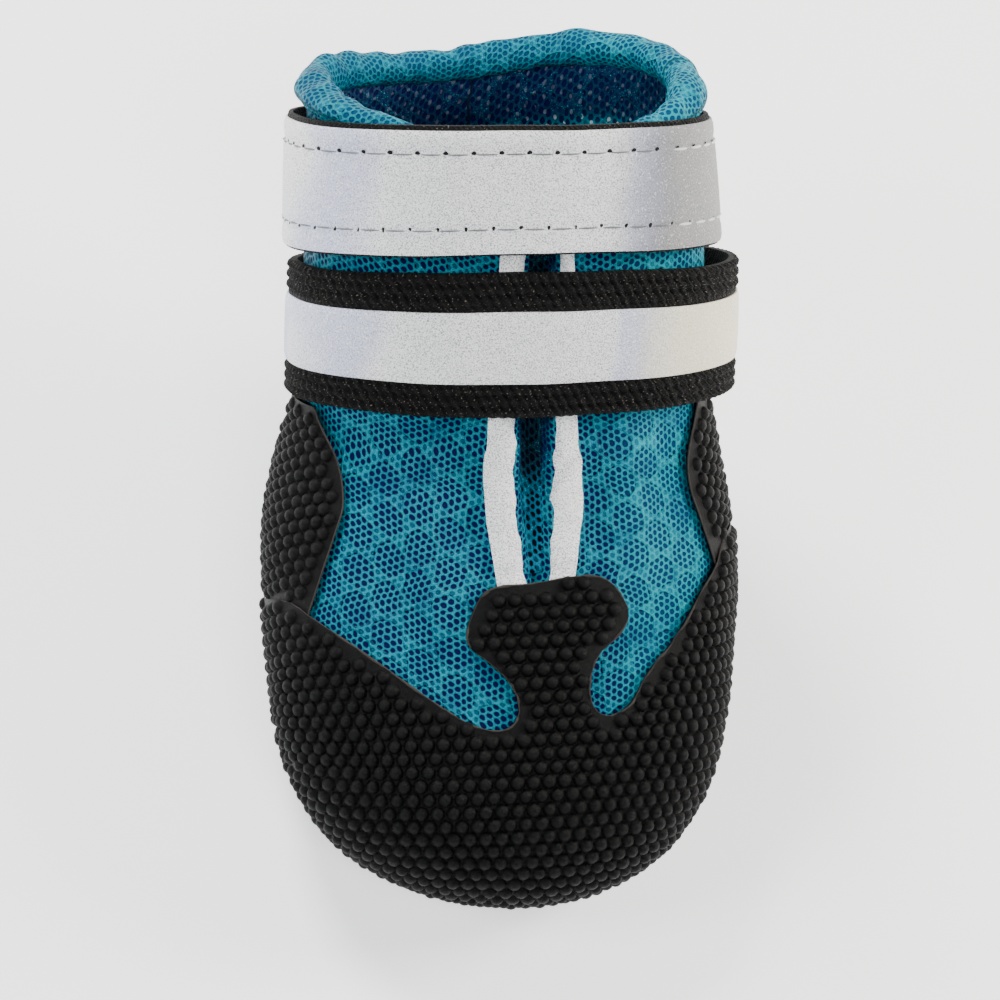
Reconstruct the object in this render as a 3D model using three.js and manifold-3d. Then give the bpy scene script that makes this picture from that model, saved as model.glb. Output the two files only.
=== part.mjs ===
// Dog boot: a mesh sock with a nubby toe cap and side wings, a chevron rubber sole that climbs
// the heel, a padded collar and two straps that fasten behind.
// Millimetres, +Z up, toe towards -Y. Run with three and manifold-3d installed.
import * as THREE from 'three';
import Module from 'manifold-3d';
import { mergeVertices } from 'three/addons/utils/BufferGeometryUtils.js';

const wasm = await Module();
wasm.setup();

// Driving sizes of the last.
const flatLength = 66;        // toe tip to the end of the flat seat under the heel
const toeSpringLength = 22;   // stretch of the sole that lifts towards the toe
const toeTipHeight = 11;      // rise of the toe tip above the footbed
const heelRadius = 21;        // bend from the flat seat into the back of the shaft
const backRise = 51;          // degrees between the back of the shaft and the floor
const footbedHeight = 3.1;    // underside of the upper above the floor
const bellySag = 1.2;         // how far the round sections would hang below the flat footbed

// Thicknesses and gaps.
const clearance = 0.3;
const wall = 1.8;             // air mesh with its lining
const capThickness = 1.5;     // nubby toe cap and wings
const solePlate = 1.8;
const insoleThickness = 1.6;
const gussetThickness = 1.0;
const collarRadius = 2.4;
const rollGap = 0.5;          // between the upper's edge and the collar roll
const strapThickness = 1.5;
const patchThickness = 1.3;

// Directions that outlines are cut along, degrees above and below the floor.
const frontView = 62;
const soleView = 65;
const frontCentre = 1.5;      // sideways place of the vamp's centre line, turned a little on the foot
const forefootSway = -1.8;    // sideways place of the sole's toe and ball

// Rise of the collar's edge round the shaft, in rows of the sections below.
const collarEdge = { middle: 0.07, slope: 0.69, right: 0.13, squareness: 0.23, corner: 0.1 };

// Mesh density: rings along the last and points round each ring.
const spokes = 32;
const lastDensity = { steps: 18, count: spokes };
const treadDensity = { steps: 18, count: 24 };
const treadRoot = 0.3;        // how far the ridges are rooted in the sole plate

// Sections of the last from toe to collar. base: distance from the toe tip along the footbed and
// up the back; lean: forward tilt of the section, degrees; height and width: size across it;
// widest: where along the height it is widest; under, over: squareness of the lower and upper
// halves, 2 is an ellipse; sway: sideways shift.
const sections = [
  { name: 'toe tip', base: 0, lean: 0, height: 0, width: 0, widest: 0.5, under: 2, over: 2, sway: -0.5 },
  { name: 'toe edge', base: 1, lean: 0, height: 8.0, width: 17.0, widest: 0.48, under: 2.1, over: 2, sway: -0.7 },
  { name: 'claws', base: 4, lean: 0, height: 15.6, width: 33.8, widest: 0.47, under: 2.2, over: 2, sway: -1.1 },
  { name: 'toes', base: 9, lean: 0, height: 22.0, width: 48.0, widest: 0.46, under: 2.35, over: 2.05, sway: -1.7 },
  { name: 'knuckles', base: 16, lean: 0, height: 27.3, width: 58.6, widest: 0.46, under: 2.45, over: 2.1, sway: -2.0 },
  { name: 'ball', base: 25, lean: 0, height: 31.6, width: 65.0, widest: 0.45, under: 2.6, over: 2.15, sway: -1.9 },
  { name: 'waist', base: 38, lean: 5.7, height: 35.5, width: 68.2, widest: 0.45, under: 2.6, over: 2.15, sway: -1.0 },
  { name: 'instep', base: 51, lean: 11.6, height: 39.9, width: 70.0, widest: 0.45, under: 2.6, over: 2.15, sway: 0 },
  { name: 'heel seat', base: 66, lean: 20.1, height: 45.1, width: 69.4, widest: 0.46, under: 2.5, over: 2.15, sway: 0.6 },
  { name: 'heel curve', base: 79, lean: 29.3, height: 46.5, width: 66.0, widest: 0.48, under: 2.4, over: 2.2, sway: 1.1 },
  { name: 'ankle', base: 91.4, lean: 37.6, height: 43.2, width: 62.0, widest: 0.5, under: 2.35, over: 2.3, sway: 1.2 },
  { name: 'shaft', base: 104.5, lean: 37.8, height: 43.3, width: 61.2, widest: 0.5, under: 2.35, over: 2.3, sway: 1.0 },
  { name: 'strap gap', base: 117.5, lean: 37.2, height: 43.7, width: 60.2, widest: 0.5, under: 2.35, over: 2.35, sway: 0.4 },
  { name: 'upper shaft', base: 127, lean: 38.2, height: 42.8, width: 58.8, widest: 0.5, under: 2.35, over: 2.35, sway: -0.3 },
  { name: 'upper strap', base: 136, lean: 39.3, height: 41.5, width: 57.6, widest: 0.5, under: 2.35, over: 2.4, sway: -0.9 },
  { name: 'brim', base: 148, lean: 41, height: 40.9, width: 56.8, widest: 0.5, under: 2.35, over: 2.4, sway: -1.3 },
];
const sizeColumns = ['base', 'lean', 'height', 'width', 'widest', 'under', 'over', 'sway'];
const sectionNames = sections.map((row) => row.name);
const rowOf = (name) => sectionNames.indexOf(name);
const noseRows = rowOf('ball');
const ankleRow = rowOf('ankle');
const strapGapRow = rowOf('strap gap');
const upperStrapRow = rowOf('upper strap');

const degrees = THREE.MathUtils.degToRad;
const turn = Math.PI * 2;

// Table value at a fractional row, smooth through the rows.
function tableValue(row, column) {
  const last = sections.length - 1;
  const low = Math.min(Math.max(Math.floor(row), 0), last - 1);
  const t = row - low;
  const at = (index) => sections[index][column];
  const here = at(low);
  const next = at(low + 1);
  const before = low > 0 ? at(low - 1) : 2 * here - next;
  const after = low + 2 <= last ? at(low + 2) : 2 * next - here;
  const slopeHere = (next - before) / 2;
  const slopeNext = (after - here) / 2;
  const t2 = t * t;
  const t3 = t2 * t;
  return (2 * t3 - 3 * t2 + 1) * here + (t3 - 2 * t2 + t) * slopeHere
    + (3 * t2 - 2 * t3) * next + (t3 - t2) * slopeNext;
}

// Point of the footbed and back line in the side view, at a distance from the toe tip.
function basePoint(distance) {
  const level = footbedHeight - bellySag;
  const rise = degrees(backRise);
  const bend = heelRadius * rise;
  if (distance < toeSpringLength) {
    const left = 1 - Math.sqrt(Math.max(distance, 0) / toeSpringLength);
    return { y: distance, z: level + toeTipHeight * left * left };
  }
  if (distance <= flatLength) return { y: distance, z: level };
  const past = distance - flatLength;
  const turned = Math.min(past / heelRadius, rise);
  const straight = Math.max(past - bend, 0);
  return {
    y: flatLength + heelRadius * Math.sin(turned) + straight * Math.cos(rise),
    z: level + heelRadius * (1 - Math.cos(turned)) + straight * Math.sin(rise),
  };
}

// Point of the last's own surface. Angle 0 is the +X side, a quarter turn is the instep.
function lastPoint(row, angle) {
  const size = Object.fromEntries(sizeColumns.map((name) => [name, tableValue(row, name)]));
  const base = basePoint(row < noseRows ? row * row : size.base);
  const lean = degrees(size.lean);
  const across = Math.cos(angle);
  const along = Math.sin(angle);
  const reach = along > 0 ? size.height * (1 - size.widest) : size.height * size.widest;
  const power = along > 0 ? size.over : size.under;
  let radius = 0;
  if (size.height > 0) {
    const side = Math.abs(across / (size.width / 2)) ** power;
    const upright = Math.abs(along / reach) ** power;
    radius = (side + upright) ** (-1 / power);
  }
  const up = size.height * size.widest + radius * along;
  return new THREE.Vector3(
    size.sway + radius * across,
    base.y - Math.sin(lean) * up,
    base.z + Math.cos(lean) * up,
  );
}

// Unit normal of the last, out of the boot.
function lastNormal(row, angle) {
  const step = 0.02;
  if (row < step) return new THREE.Vector3(0, -1, 0);
  const alongRow = lastPoint(row + step, angle).sub(lastPoint(row - step, angle));
  const around = lastPoint(row, angle + step).sub(lastPoint(row, angle - step));
  return alongRow.cross(around).normalize();
}

// Point at an offset outside the last, pressed flat where the boot stands.
function formPoint(row, angle, offset) {
  const point = lastPoint(row, angle).addScaledVector(lastNormal(row, angle), offset);
  point.z = Math.max(point.z, footbedHeight - offset);
  return point;
}

// Row of the collar's edge at an angle: lower in front, higher behind, on the sides and most of
// all behind on the right.
function collarRow(angle) {
  const { middle, slope, right, squareness, corner } = collarEdge;
  return upperStrapRow + middle - slope * Math.sin(angle) + right * Math.cos(angle)
    + squareness * Math.cos(2 * angle) - corner * Math.sin(2 * angle);
}

// Geometry from rings of points, each ring with the same count: sides between rings, then caps,
// or a closed loop of rings.
function ringsGeometry(rings, isLoop = false) {
  const count = rings[0].length;
  const points = rings.flat();
  const faces = [];
  const quadRows = isLoop ? rings.length : rings.length - 1;
  for (let ring = 0; ring < quadRows; ring += 1) {
    const next = (ring + 1) % rings.length;
    for (let side = 0; side < count; side += 1) {
      const beside = (side + 1) % count;
      const a = ring * count + side;
      const b = ring * count + beside;
      const c = next * count + beside;
      const d = next * count + side;
      faces.push(a, b, c, a, c, d);
    }
  }
  if (!isLoop) {
    [0, rings.length - 1].forEach((ring) => {
      const middle = points.length;
      const centre = new THREE.Vector3();
      rings[ring].forEach((point) => centre.addScaledVector(point, 1 / count));
      points.push(centre);
      for (let side = 0; side < count; side += 1) {
        const a = ring * count + side;
        const b = ring * count + (side + 1) % count;
        faces.push(...(ring === 0 ? [middle, b, a] : [middle, a, b]));
      }
    });
  }
  const geometry = new THREE.BufferGeometry().setFromPoints(points);
  geometry.setIndex(faces);
  return outward(geometry);
}

// The same geometry with its faces pointing out.
function outward(geometry) {
  const place = geometry.attributes.position;
  const index = geometry.index.array;
  const [a, b, c] = [new THREE.Vector3(), new THREE.Vector3(), new THREE.Vector3()];
  let volume = 0;
  for (let face = 0; face < index.length; face += 3) {
    a.fromBufferAttribute(place, index[face]);
    b.fromBufferAttribute(place, index[face + 1]);
    c.fromBufferAttribute(place, index[face + 2]);
    volume += a.dot(b.cross(c));
  }
  if (volume < 0) {
    for (let face = 0; face < index.length; face += 3) {
      [index[face + 1], index[face + 2]] = [index[face + 2], index[face + 1]];
    }
  }
  return geometry;
}

// Boolean solid from a closed geometry, and back.
function solidOf(geometry) {
  geometry.deleteAttribute('normal');
  geometry.deleteAttribute('uv');
  const merged = mergeVertices(geometry, 1e-4);
  const index = merged.index.array;
  const triVerts = [];
  for (let face = 0; face < index.length; face += 3) {
    const [a, b, c] = [index[face], index[face + 1], index[face + 2]];
    if (a !== b && b !== c && a !== c) triVerts.push(a, b, c);
  }
  return new wasm.Manifold(new wasm.Mesh({
    numProp: 3,
    vertProperties: new Float32Array(merged.attributes.position.array),
    triVerts: new Uint32Array(triVerts),
  }));
}

function geometryOf(solid) {
  const mesh = solid.getMesh();
  const geometry = new THREE.BufferGeometry();
  geometry.setAttribute('position', new THREE.BufferAttribute(mesh.vertProperties, 3));
  geometry.setIndex(new THREE.BufferAttribute(mesh.triVerts, 1));
  return geometry;
}

// Whole last at an offset, closed over the collar. With 'extra' rows it overshoots the collar.
function formSolid(offset, extra = 0, density = lastDensity) {
  const { steps, count } = density;
  const rings = [];
  for (let step = 0; step <= steps; step += 1) {
    const share = step / steps;
    const ring = [];
    for (let spoke = 0; spoke < count; spoke += 1) {
      const angle = (spoke / count) * turn;
      const even = share * upperStrapRow;
      const stretch = Math.max(0, (even - ankleRow) / (upperStrapRow - ankleRow));
      const row = even + stretch * (collarRow(angle) + extra - upperStrapRow);
      ring.push(formPoint(row, angle, offset));
    }
    rings.push(ring);
  }
  return solidOf(ringsGeometry(rings));
}

// Layer between two offsets of the last.
function layer(inner, outer, density = lastDensity) {
  return formSolid(outer, 0, density).subtract(formSolid(inner, 0.6, density));
}

// Prism of an outline, extruded from 'near' to 'far' along a direction in the side view. Outline
// x is the boot's x, outline y runs up the view that looks along the direction.
function prism(shape, elevation, near, far) {
  const geometry = new THREE.ExtrudeGeometry(shape, {
    depth: far - near,
    bevelEnabled: false,
    curveSegments: 4,
  });
  geometry.translate(0, 0, near);
  geometry.rotateX(Math.PI / 2 - degrees(elevation));
  return solidOf(geometry);
}

// Outline through a table of points, smooth between them.
function smoothOutline(table) {
  const curve = new THREE.SplineCurve(table.map((row) => new THREE.Vector2(row.x, row.up)));
  return curve.getPoints(table.length + 4);
}

const materials = {
  mesh: { color: 0x0b93a6, roughness: 0.8, metalness: 0 },
  collar: { color: 0x12a3bd, roughness: 0.85, metalness: 0 },
  gusset: { color: 0x0d3f66, roughness: 0.85, metalness: 0 },
  nubby: { color: 0x121214, roughness: 0.7, metalness: 0 },
  rubber: { color: 0x15161a, roughness: 0.55, metalness: 0 },
  insole: { color: 0x1b2b3a, roughness: 0.9, metalness: 0 },
  strap: { color: 0xb9bdc2, roughness: 0.45, metalness: 0.2 },
  webbing: { color: 0x0d0d0e, roughness: 0.85, metalness: 0 },
  patch: { color: 0x0a0a0b, roughness: 0.95, metalness: 0 },
};

const boot = new THREE.Group();

function addNode(name, geometry, finish) {
  const node = new THREE.Mesh(geometry, new THREE.MeshStandardMaterial(materials[finish]));
  node.name = name;
  boot.add(node);
}

// Closed outline of a footprint: a round toe and the ball, swung a little to one side, then the
// waist, the heel's corners and a narrower end.
function footShape(size, inset) {
  const [ball, waist, heel, end] = [size.ballWidth, size.waistWidth, size.heelWidth, size.endWidth]
    .map((width) => width / 2 - inset);
  const toe = size.toe + inset;
  const shape = new THREE.Shape();
  const right = forefootSway + ball;
  const left = forefootSway - ball;
  const shoulder = toe + (size.ball - toe) * 0.4;
  shape.moveTo(forefootSway, toe);
  shape.bezierCurveTo(forefootSway + ball * 0.62, toe, right, shoulder, right, size.ball);
  shape.bezierCurveTo(right, size.ball + 10, waist, size.waist - 8, waist, size.waist);
  shape.lineTo(heel, size.heel - inset * 0.5);
  shape.lineTo(end, size.end - inset);
  shape.lineTo(-end, size.end - inset);
  shape.lineTo(-heel, size.heel - inset * 0.5);
  shape.lineTo(-waist, size.waist);
  shape.bezierCurveTo(-waist, size.waist - 8, left, size.ball + 10, left, size.ball);
  shape.bezierCurveTo(left, shoulder, forefootSway - ball * 0.62, toe, forefootSway, toe);
  return shape;
}

// Sole seen from below and behind: the flap past the heel's corners climbs the back.
const soleSize = {
  toe: 3.2, ball: 20, ballWidth: 61.5, waist: 42, waistWidth: 56, heel: 61, heelWidth: 53, end: 89, endWidth: 21,
};
const soleDepth = { near: -60, far: 6 };
const treadEnd = 84;

function solePrism(inset) {
  return prism(footShape(soleSize, inset), soleView, soleDepth.near, soleDepth.far);
}

// Insole seen from above.
const insoleSize = {
  toe: 6.5, ball: 22, ballWidth: 52, waist: 42, waistWidth: 47, heel: 56, heelWidth: 42, end: 65, endWidth: 24,
};

function insolePrism(inset) {
  return prism(footShape(insoleSize, inset), 90, 0, 12);
}

// Edge of the toe cap in the front view, from the left flank over the tab to the right flank.
const capEdge = [
  { x: -46, up: 50.5 }, { x: -37, up: 50.2 }, { x: -33, up: 47.2 }, { x: -24, up: 40 }, { x: -17.5, up: 34.8 },
  { x: -12, up: 31.2 }, { x: -7.6, up: 30.4 }, { x: -5.3, up: 32.4 }, { x: -5.6, up: 36 }, { x: -8.4, up: 39.6 },
  { x: -12.1, up: 43.2 }, { x: -11, up: 47.6 }, { x: -8.4, up: 50.8 }, { x: -2.2, up: 51.4 }, { x: 8.2, up: 52 },
  { x: 12.4, up: 47.4 }, { x: 11.4, up: 44 }, { x: 7.2, up: 40.4 }, { x: 5.6, up: 36 }, { x: 6.4, up: 32.6 },
  { x: 9, up: 31.6 }, { x: 12.4, up: 33.4 }, { x: 15.6, up: 37.8 }, { x: 20.6, up: 42.6 }, { x: 28, up: 51.6 },
  { x: 34, up: 59 }, { x: 46, up: 62 },
];
const frontDepth = { near: -60, far: 60 };
const capFoot = -20;          // far below the toe in the front view

function capPrism(gap) {
  const edge = smoothOutline(capEdge).map((point) => new THREE.Vector2(point.x + frontCentre, point.y + gap));
  const outline = [...edge, new THREE.Vector2(48, capFoot), new THREE.Vector2(-46, capFoot)];
  return prism(new THREE.Shape(outline), frontView, frontDepth.near, frontDepth.far);
}

// Inner edge of a wing in the front view, from the cap up to under the lower strap.
const wingEdge = [
  { x: 33, up: 46 }, { x: 30, up: 54.5 }, { x: 28, up: 60 }, { x: 26.6, up: 64.5 }, { x: 26.8, up: 70 }, { x: 29, up: 77 }, { x: 30, up: 84 },
];

function wingPrism(side) {
  const edge = smoothOutline(wingEdge).map((point) => new THREE.Vector2(side * point.x, point.y));
  const outline = [...edge, new THREE.Vector2(side * 60, 84), new THREE.Vector2(side * 60, 46)];
  const shape = new THREE.Shape(side > 0 ? outline : outline.reverse());
  return prism(shape, frontView, frontDepth.near, frontDepth.far);
}

// Region in front of the wings' back edges, and below the lower strap, in the side view.
const wingBack = [
  { y: -20, z: -10 }, { y: 67, z: -10 }, { y: 67.5, z: 9 }, { y: 76.5, z: 30 }, { y: 64, z: 44 }, { y: 40, z: 60 }, { y: -20, z: 60 },
];

function flankPrism() {
  const shape = new THREE.Shape(wingBack.map((row) => new THREE.Vector2(row.y, row.z)));
  const geometry = new THREE.ExtrudeGeometry(shape, { depth: 120, bevelEnabled: false });
  geometry.translate(0, 0, -60);
  geometry.rotateX(Math.PI / 2);
  geometry.rotateZ(Math.PI / 2);
  return solidOf(geometry);
}

// Slot in the front of the shaft that the gusset fills, in the front view.
const slotEdge = [
  { up: 53, left: -0.8, right: 1.7 }, { up: 64.5, left: -3.1, right: 1.5 }, { up: 75.5, left: -2.6, right: 2.7 }, { up: 106, left: -2.8, right: 2.8 },
];

function slotPrism(margin) {
  const last = slotEdge.length - 1;
  const reach = (index) => slotEdge[index].up + (index === last ? margin : 0) - (index === 0 ? margin : 0);
  const left = slotEdge.map((row, index) => new THREE.Vector2(frontCentre + row.left - margin, reach(index)));
  const right = slotEdge.map((row, index) => new THREE.Vector2(frontCentre + row.right + margin, reach(index)));
  return prism(new THREE.Shape([...left, ...right.reverse()]), frontView, 8, frontDepth.far);
}

// Chevron ridges across the sole, in the view from below and behind.
const ridges = {
  pitch: 4.3, width: 2.1, first: 8, last: 84, wave: 18.6, rise: 4.9, reach: 37.2,
};
const sizePad = { up: 58.5, width: 14.5, height: 9.5, margin: 1.2 };

function ridgePrism(up) {
  const half = ridges.width / 2;
  const corners = [];
  for (let x = -ridges.reach; x <= ridges.reach + 0.01; x += ridges.wave / 2) {
    const isPeak = Math.abs(Math.round(x / (ridges.wave / 2))) % 2 === 0;
    corners.push(new THREE.Vector2(x, up + (isPeak ? ridges.rise / 2 : -ridges.rise / 2)));
  }
  const lower = corners.map((point) => new THREE.Vector2(point.x, point.y - half));
  const upper = corners.map((point) => new THREE.Vector2(point.x, point.y + half));
  return prism(new THREE.Shape([...lower, ...upper.reverse()]), soleView, soleDepth.near, soleDepth.far - 2);
}

function ellipsePrism(extra) {
  const pad = new THREE.Shape();
  pad.absellipse(0, sizePad.up, sizePad.width / 2 + extra, sizePad.height / 2 + extra, 0, turn);
  return prism(pad, soleView, soleDepth.near, soleDepth.far - 4);
}

function treadSolid() {
  let bars = ridgePrism(ridges.first);
  for (let up = ridges.first + ridges.pitch; up <= ridges.last; up += ridges.pitch) {
    bars = bars.add(ridgePrism(up));
  }
  const inside = prism(footShape({ ...soleSize, end: treadEnd }, 2.2), soleView, soleDepth.near, soleDepth.far);
  const lugs = bars.subtract(ellipsePrism(sizePad.margin)).intersect(inside).add(ellipsePrism(0));
  const under = clearance + solePlate - treadRoot;
  return layer(under, footbedHeight, treadDensity).intersect(lugs);
}

function outsole() {
  const plate = layer(clearance, clearance + solePlate).intersect(solePrism(0));
  return plate.add(treadSolid());
}

function upper() {
  return layer(-wall, 0).subtract(insolePrism(0)).subtract(slotPrism(0));
}

function insole() {
  return layer(-insoleThickness, 0).intersect(insolePrism(clearance));
}

function gusset() {
  const outer = -wall - clearance;
  return layer(outer - gussetThickness, outer).intersect(slotPrism(3));
}

function toeCap() {
  return layer(clearance, clearance + capThickness)
    .intersect(capPrism(0))
    .intersect(flankPrism())
    .subtract(solePrism(-clearance));
}

function wing(side) {
  return layer(clearance, clearance + capThickness)
    .intersect(wingPrism(side))
    .intersect(flankPrism())
    .subtract(capPrism(clearance))
    .subtract(solePrism(-clearance));
}

// Padded roll along the collar's edge.
function collarRoll() {
  const ringPoints = 8;
  const rings = [];
  for (let spoke = 0; spoke < spokes; spoke += 1) {
    const angle = (spoke / spokes) * turn;
    const row = collarRow(angle);
    const edge = formPoint(row, angle, -wall / 2);
    const out = lastNormal(row, angle);
    const up = formPoint(row + 0.2, angle, -wall / 2).sub(formPoint(row - 0.2, angle, -wall / 2)).normalize();
    const middle = edge.clone().addScaledVector(up, collarRadius + rollGap);
    const ring = [];
    for (let side = 0; side < ringPoints; side += 1) {
      const around = (side / ringPoints) * turn;
      ring.push(middle.clone()
        .addScaledVector(out, collarRadius * Math.cos(around))
        .addScaledVector(up, collarRadius * Math.sin(around)));
    }
    rings.push(ring);
  }
  return ringsGeometry(rings, true);
}

// Straps. Angles run from the sewn joint, round the front, to the free end behind. bottomRise
// lifts the lower edge at the sides, in rows; front, left, right and back are gaps to the last.
const strapSizes = [
  {
    name: 'lower', bottom: ankleRow, top: strapGapRow - 0.32, bottomRise: 0.13, joint: 217, freeEnd: -71,
    front: 0.8, left: 0.8, right: 4.0, back: 2.7,
  },
  {
    name: 'upper', bottom: strapGapRow - 0.08, top: upperStrapRow + 0.1, bottomRise: -0.04, joint: 228, freeEnd: -71,
    front: 1.9, left: 2.1, right: 1.3, back: 2.0,
  },
];
const patchUnder = 26;        // degrees of patch under the free end
const jointGap = 0.8;         // degrees between band and patch where they are sewn
const strapStep = 7;          // degrees

// Gap between the last and the inner face of a strap.
function strapStand(strap, angle) {
  const ahead = Math.max(Math.sin(angle), 0) ** 1.5;
  const behind = Math.max(-Math.sin(angle), 0) ** 1.5;
  const right = (1 + Math.cos(angle)) / 2;
  const side = strap.left + (strap.right - strap.left) * right;
  return strap.front * ahead + strap.back * behind + side * (1 - ahead - behind);
}

function strapBand(strap, from, to, extra, thickness) {
  const steps = Math.round(Math.abs(to - from) / strapStep);
  const rings = [];
  for (let step = 0; step <= steps; step += 1) {
    const angle = degrees(from + ((to - from) * step) / steps);
    const inner = strapStand(strap, angle) + extra(angle);
    const bottom = strap.bottom + strap.bottomRise * Math.cos(angle) ** 2;
    const corner = (row, offset) => formPoint(row, angle, offset);
    rings.push([
      corner(bottom, inner), corner(strap.top, inner),
      corner(strap.top, inner + thickness), corner(bottom, inner + thickness),
    ]);
  }
  return ringsGeometry(rings);
}

strapSizes.forEach((strap) => {
  const lift = patchThickness + clearance;
  const overPatch = degrees(strap.freeEnd + patchUnder + 10);
  const rise = (angle) => lift * THREE.MathUtils.smoothstep(-angle, -overPatch - degrees(14), -overPatch);
  addNode(`${strap.name}_strap`, strapBand(strap, strap.joint, strap.freeEnd, rise, strapThickness), 'strap');
  const patch = strapBand(strap, strap.joint + jointGap, 360 + strap.freeEnd + patchUnder, () => 0, patchThickness);
  addNode(`${strap.name}_strap_patch`, patch, 'patch');
});

addNode('upper', geometryOf(upper()), 'mesh');
addNode('gusset', geometryOf(gusset()), 'gusset');
addNode('collar_roll', collarRoll(), 'collar');
addNode('toe_cap', geometryOf(toeCap()), 'nubby');
addNode('wing_left', geometryOf(wing(-1)), 'nubby');
addNode('wing_right', geometryOf(wing(1)), 'nubby');
addNode('insole', geometryOf(insole()), 'insole');
addNode('outsole', geometryOf(outsole()), 'rubber');

// Origin at the middle of the box, on the floor.
const box = new THREE.Box3().setFromObject(boot);
boot.position.set(-(box.min.x + box.max.x) / 2, -(box.min.y + box.max.y) / 2, -box.min.z);
boot.updateMatrixWorld(true);

export default boot;
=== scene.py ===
"""Dog boot: an air mesh sock with a nubby toe cap and wings, a chevron rubber sole, a padded
collar and two straps that fasten behind."""

import functools
import math
import random

import bpy
import numpy as np
from mathutils import Matrix, Vector
from mathutils.bvhtree import BVHTree


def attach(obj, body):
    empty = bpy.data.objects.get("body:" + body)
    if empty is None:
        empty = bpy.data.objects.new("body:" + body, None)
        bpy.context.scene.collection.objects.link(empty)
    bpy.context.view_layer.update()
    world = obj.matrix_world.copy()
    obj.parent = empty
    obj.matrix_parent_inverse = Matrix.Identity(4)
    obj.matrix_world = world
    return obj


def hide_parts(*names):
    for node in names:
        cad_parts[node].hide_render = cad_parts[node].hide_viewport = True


bl_info = {
    "name": "Dog Boot",
    "version": (1, 0, 0),
    "blender": (4, 5, 0),
    "location": "3D View > Sidebar > Dog Boot",
    "description": "Builds the soft pieces, the sole and the finishes of a dog boot",
    "category": "Object",
}

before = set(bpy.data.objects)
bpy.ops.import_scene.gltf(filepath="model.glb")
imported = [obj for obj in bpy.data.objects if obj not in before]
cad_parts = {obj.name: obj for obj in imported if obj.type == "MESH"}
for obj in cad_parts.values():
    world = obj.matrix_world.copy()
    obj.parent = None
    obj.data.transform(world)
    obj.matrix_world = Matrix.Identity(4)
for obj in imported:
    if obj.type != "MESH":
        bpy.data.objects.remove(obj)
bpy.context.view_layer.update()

MM = 0.001
TURN = 2 * math.pi
FORM_PLACE = np.array([-0.297, -60.477, 0.0])  # the toe tip's place in the frame, millimetres

# ---------------------------------------------------------------- the last

FLAT_LENGTH = 66.0
TOE_SPRING = 22.0
TOE_TIP_HEIGHT = 11.0
HEEL_RADIUS = 21.0
BACK_RISE = math.radians(51)
FOOTBED = 3.1
BELLY_SAG = 1.2
WALL = 1.8
COLUMNS = ("base", "lean", "height", "width", "widest", "under", "over", "sway")
SECTIONS = {
    "toe tip": (0, 0, 0, 0, 0.5, 2, 2, -0.5),
    "toe edge": (1, 0, 8.0, 17.0, 0.48, 2.1, 2, -0.7),
    "claws": (4, 0, 15.6, 33.8, 0.47, 2.2, 2, -1.1),
    "toes": (9, 0, 22.0, 48.0, 0.46, 2.35, 2.05, -1.7),
    "knuckles": (16, 0, 27.3, 58.6, 0.46, 2.45, 2.1, -2.0),
    "ball": (25, 0, 31.6, 65.0, 0.45, 2.6, 2.15, -1.9),
    "waist": (38, 5.7, 35.5, 68.2, 0.45, 2.6, 2.15, -1.0),
    "instep": (51, 11.6, 39.9, 70.0, 0.45, 2.6, 2.15, 0),
    "heel seat": (66, 20.1, 45.1, 69.4, 0.46, 2.5, 2.15, 0.6),
    "heel curve": (79, 29.3, 46.5, 66.0, 0.48, 2.4, 2.2, 1.1),
    "ankle": (91.4, 37.6, 43.2, 62.0, 0.5, 2.35, 2.3, 1.2),
    "shaft": (104.5, 37.8, 43.3, 61.2, 0.5, 2.35, 2.3, 1.0),
    "strap gap": (117.5, 37.2, 43.7, 60.2, 0.5, 2.35, 2.35, 0.4),
    "upper shaft": (127, 38.2, 42.8, 58.8, 0.5, 2.35, 2.35, -0.3),
    "upper strap": (136, 39.3, 41.5, 57.6, 0.5, 2.35, 2.4, -0.9),
    "brim": (148, 41, 40.9, 56.8, 0.5, 2.35, 2.4, -1.3),
}
SECTION_ROWS = list(SECTIONS)
SECTION_SIZES = {
    name: np.array([row[i] for row in SECTIONS.values()], float) for i, name in enumerate(COLUMNS)
}
NOSE_ROWS = SECTION_ROWS.index("ball")
ANKLE = SECTION_ROWS.index("ankle")
STRAP_GAP = SECTION_ROWS.index("strap gap")
UPPER_STRAP = SECTION_ROWS.index("upper strap")


def section_size(row, name):
    """A section size at fractional rows, smooth through the table."""
    column = SECTION_SIZES[name]
    last = len(column) - 1
    low = np.clip(np.floor(row).astype(int), 0, last - 1)
    t = row - low
    here, after_here = column[low], column[low + 1]
    before = np.where(low > 0, column[np.maximum(low - 1, 0)], 2 * here - after_here)
    after = np.where(low + 2 <= last, column[np.minimum(low + 2, last)], 2 * after_here - here)
    slope, slope_next = (after_here - before) / 2, (after - here) / 2
    return (
        (2 * t**3 - 3 * t**2 + 1) * here
        + (t**3 - 2 * t**2 + t) * slope
        + (3 * t**2 - 2 * t**3) * after_here
        + (t**3 - t**2) * slope_next
    )


def footbed_line(distance):
    """Y and Z of the footbed and back line at a distance from the toe tip."""
    level = FOOTBED - BELLY_SAG
    spring = 1 - np.sqrt(np.clip(distance, 0, TOE_SPRING) / TOE_SPRING)
    past = np.maximum(distance - FLAT_LENGTH, 0)
    turned = np.minimum(past / HEEL_RADIUS, BACK_RISE)
    straight = np.maximum(past - HEEL_RADIUS * BACK_RISE, 0)
    y = np.minimum(distance, FLAT_LENGTH) + HEEL_RADIUS * np.sin(turned) + straight * math.cos(BACK_RISE)
    rise = TOE_TIP_HEIGHT * spring**2 + HEEL_RADIUS * (1 - np.cos(turned)) + straight * math.sin(BACK_RISE)
    return y, level + rise


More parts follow.
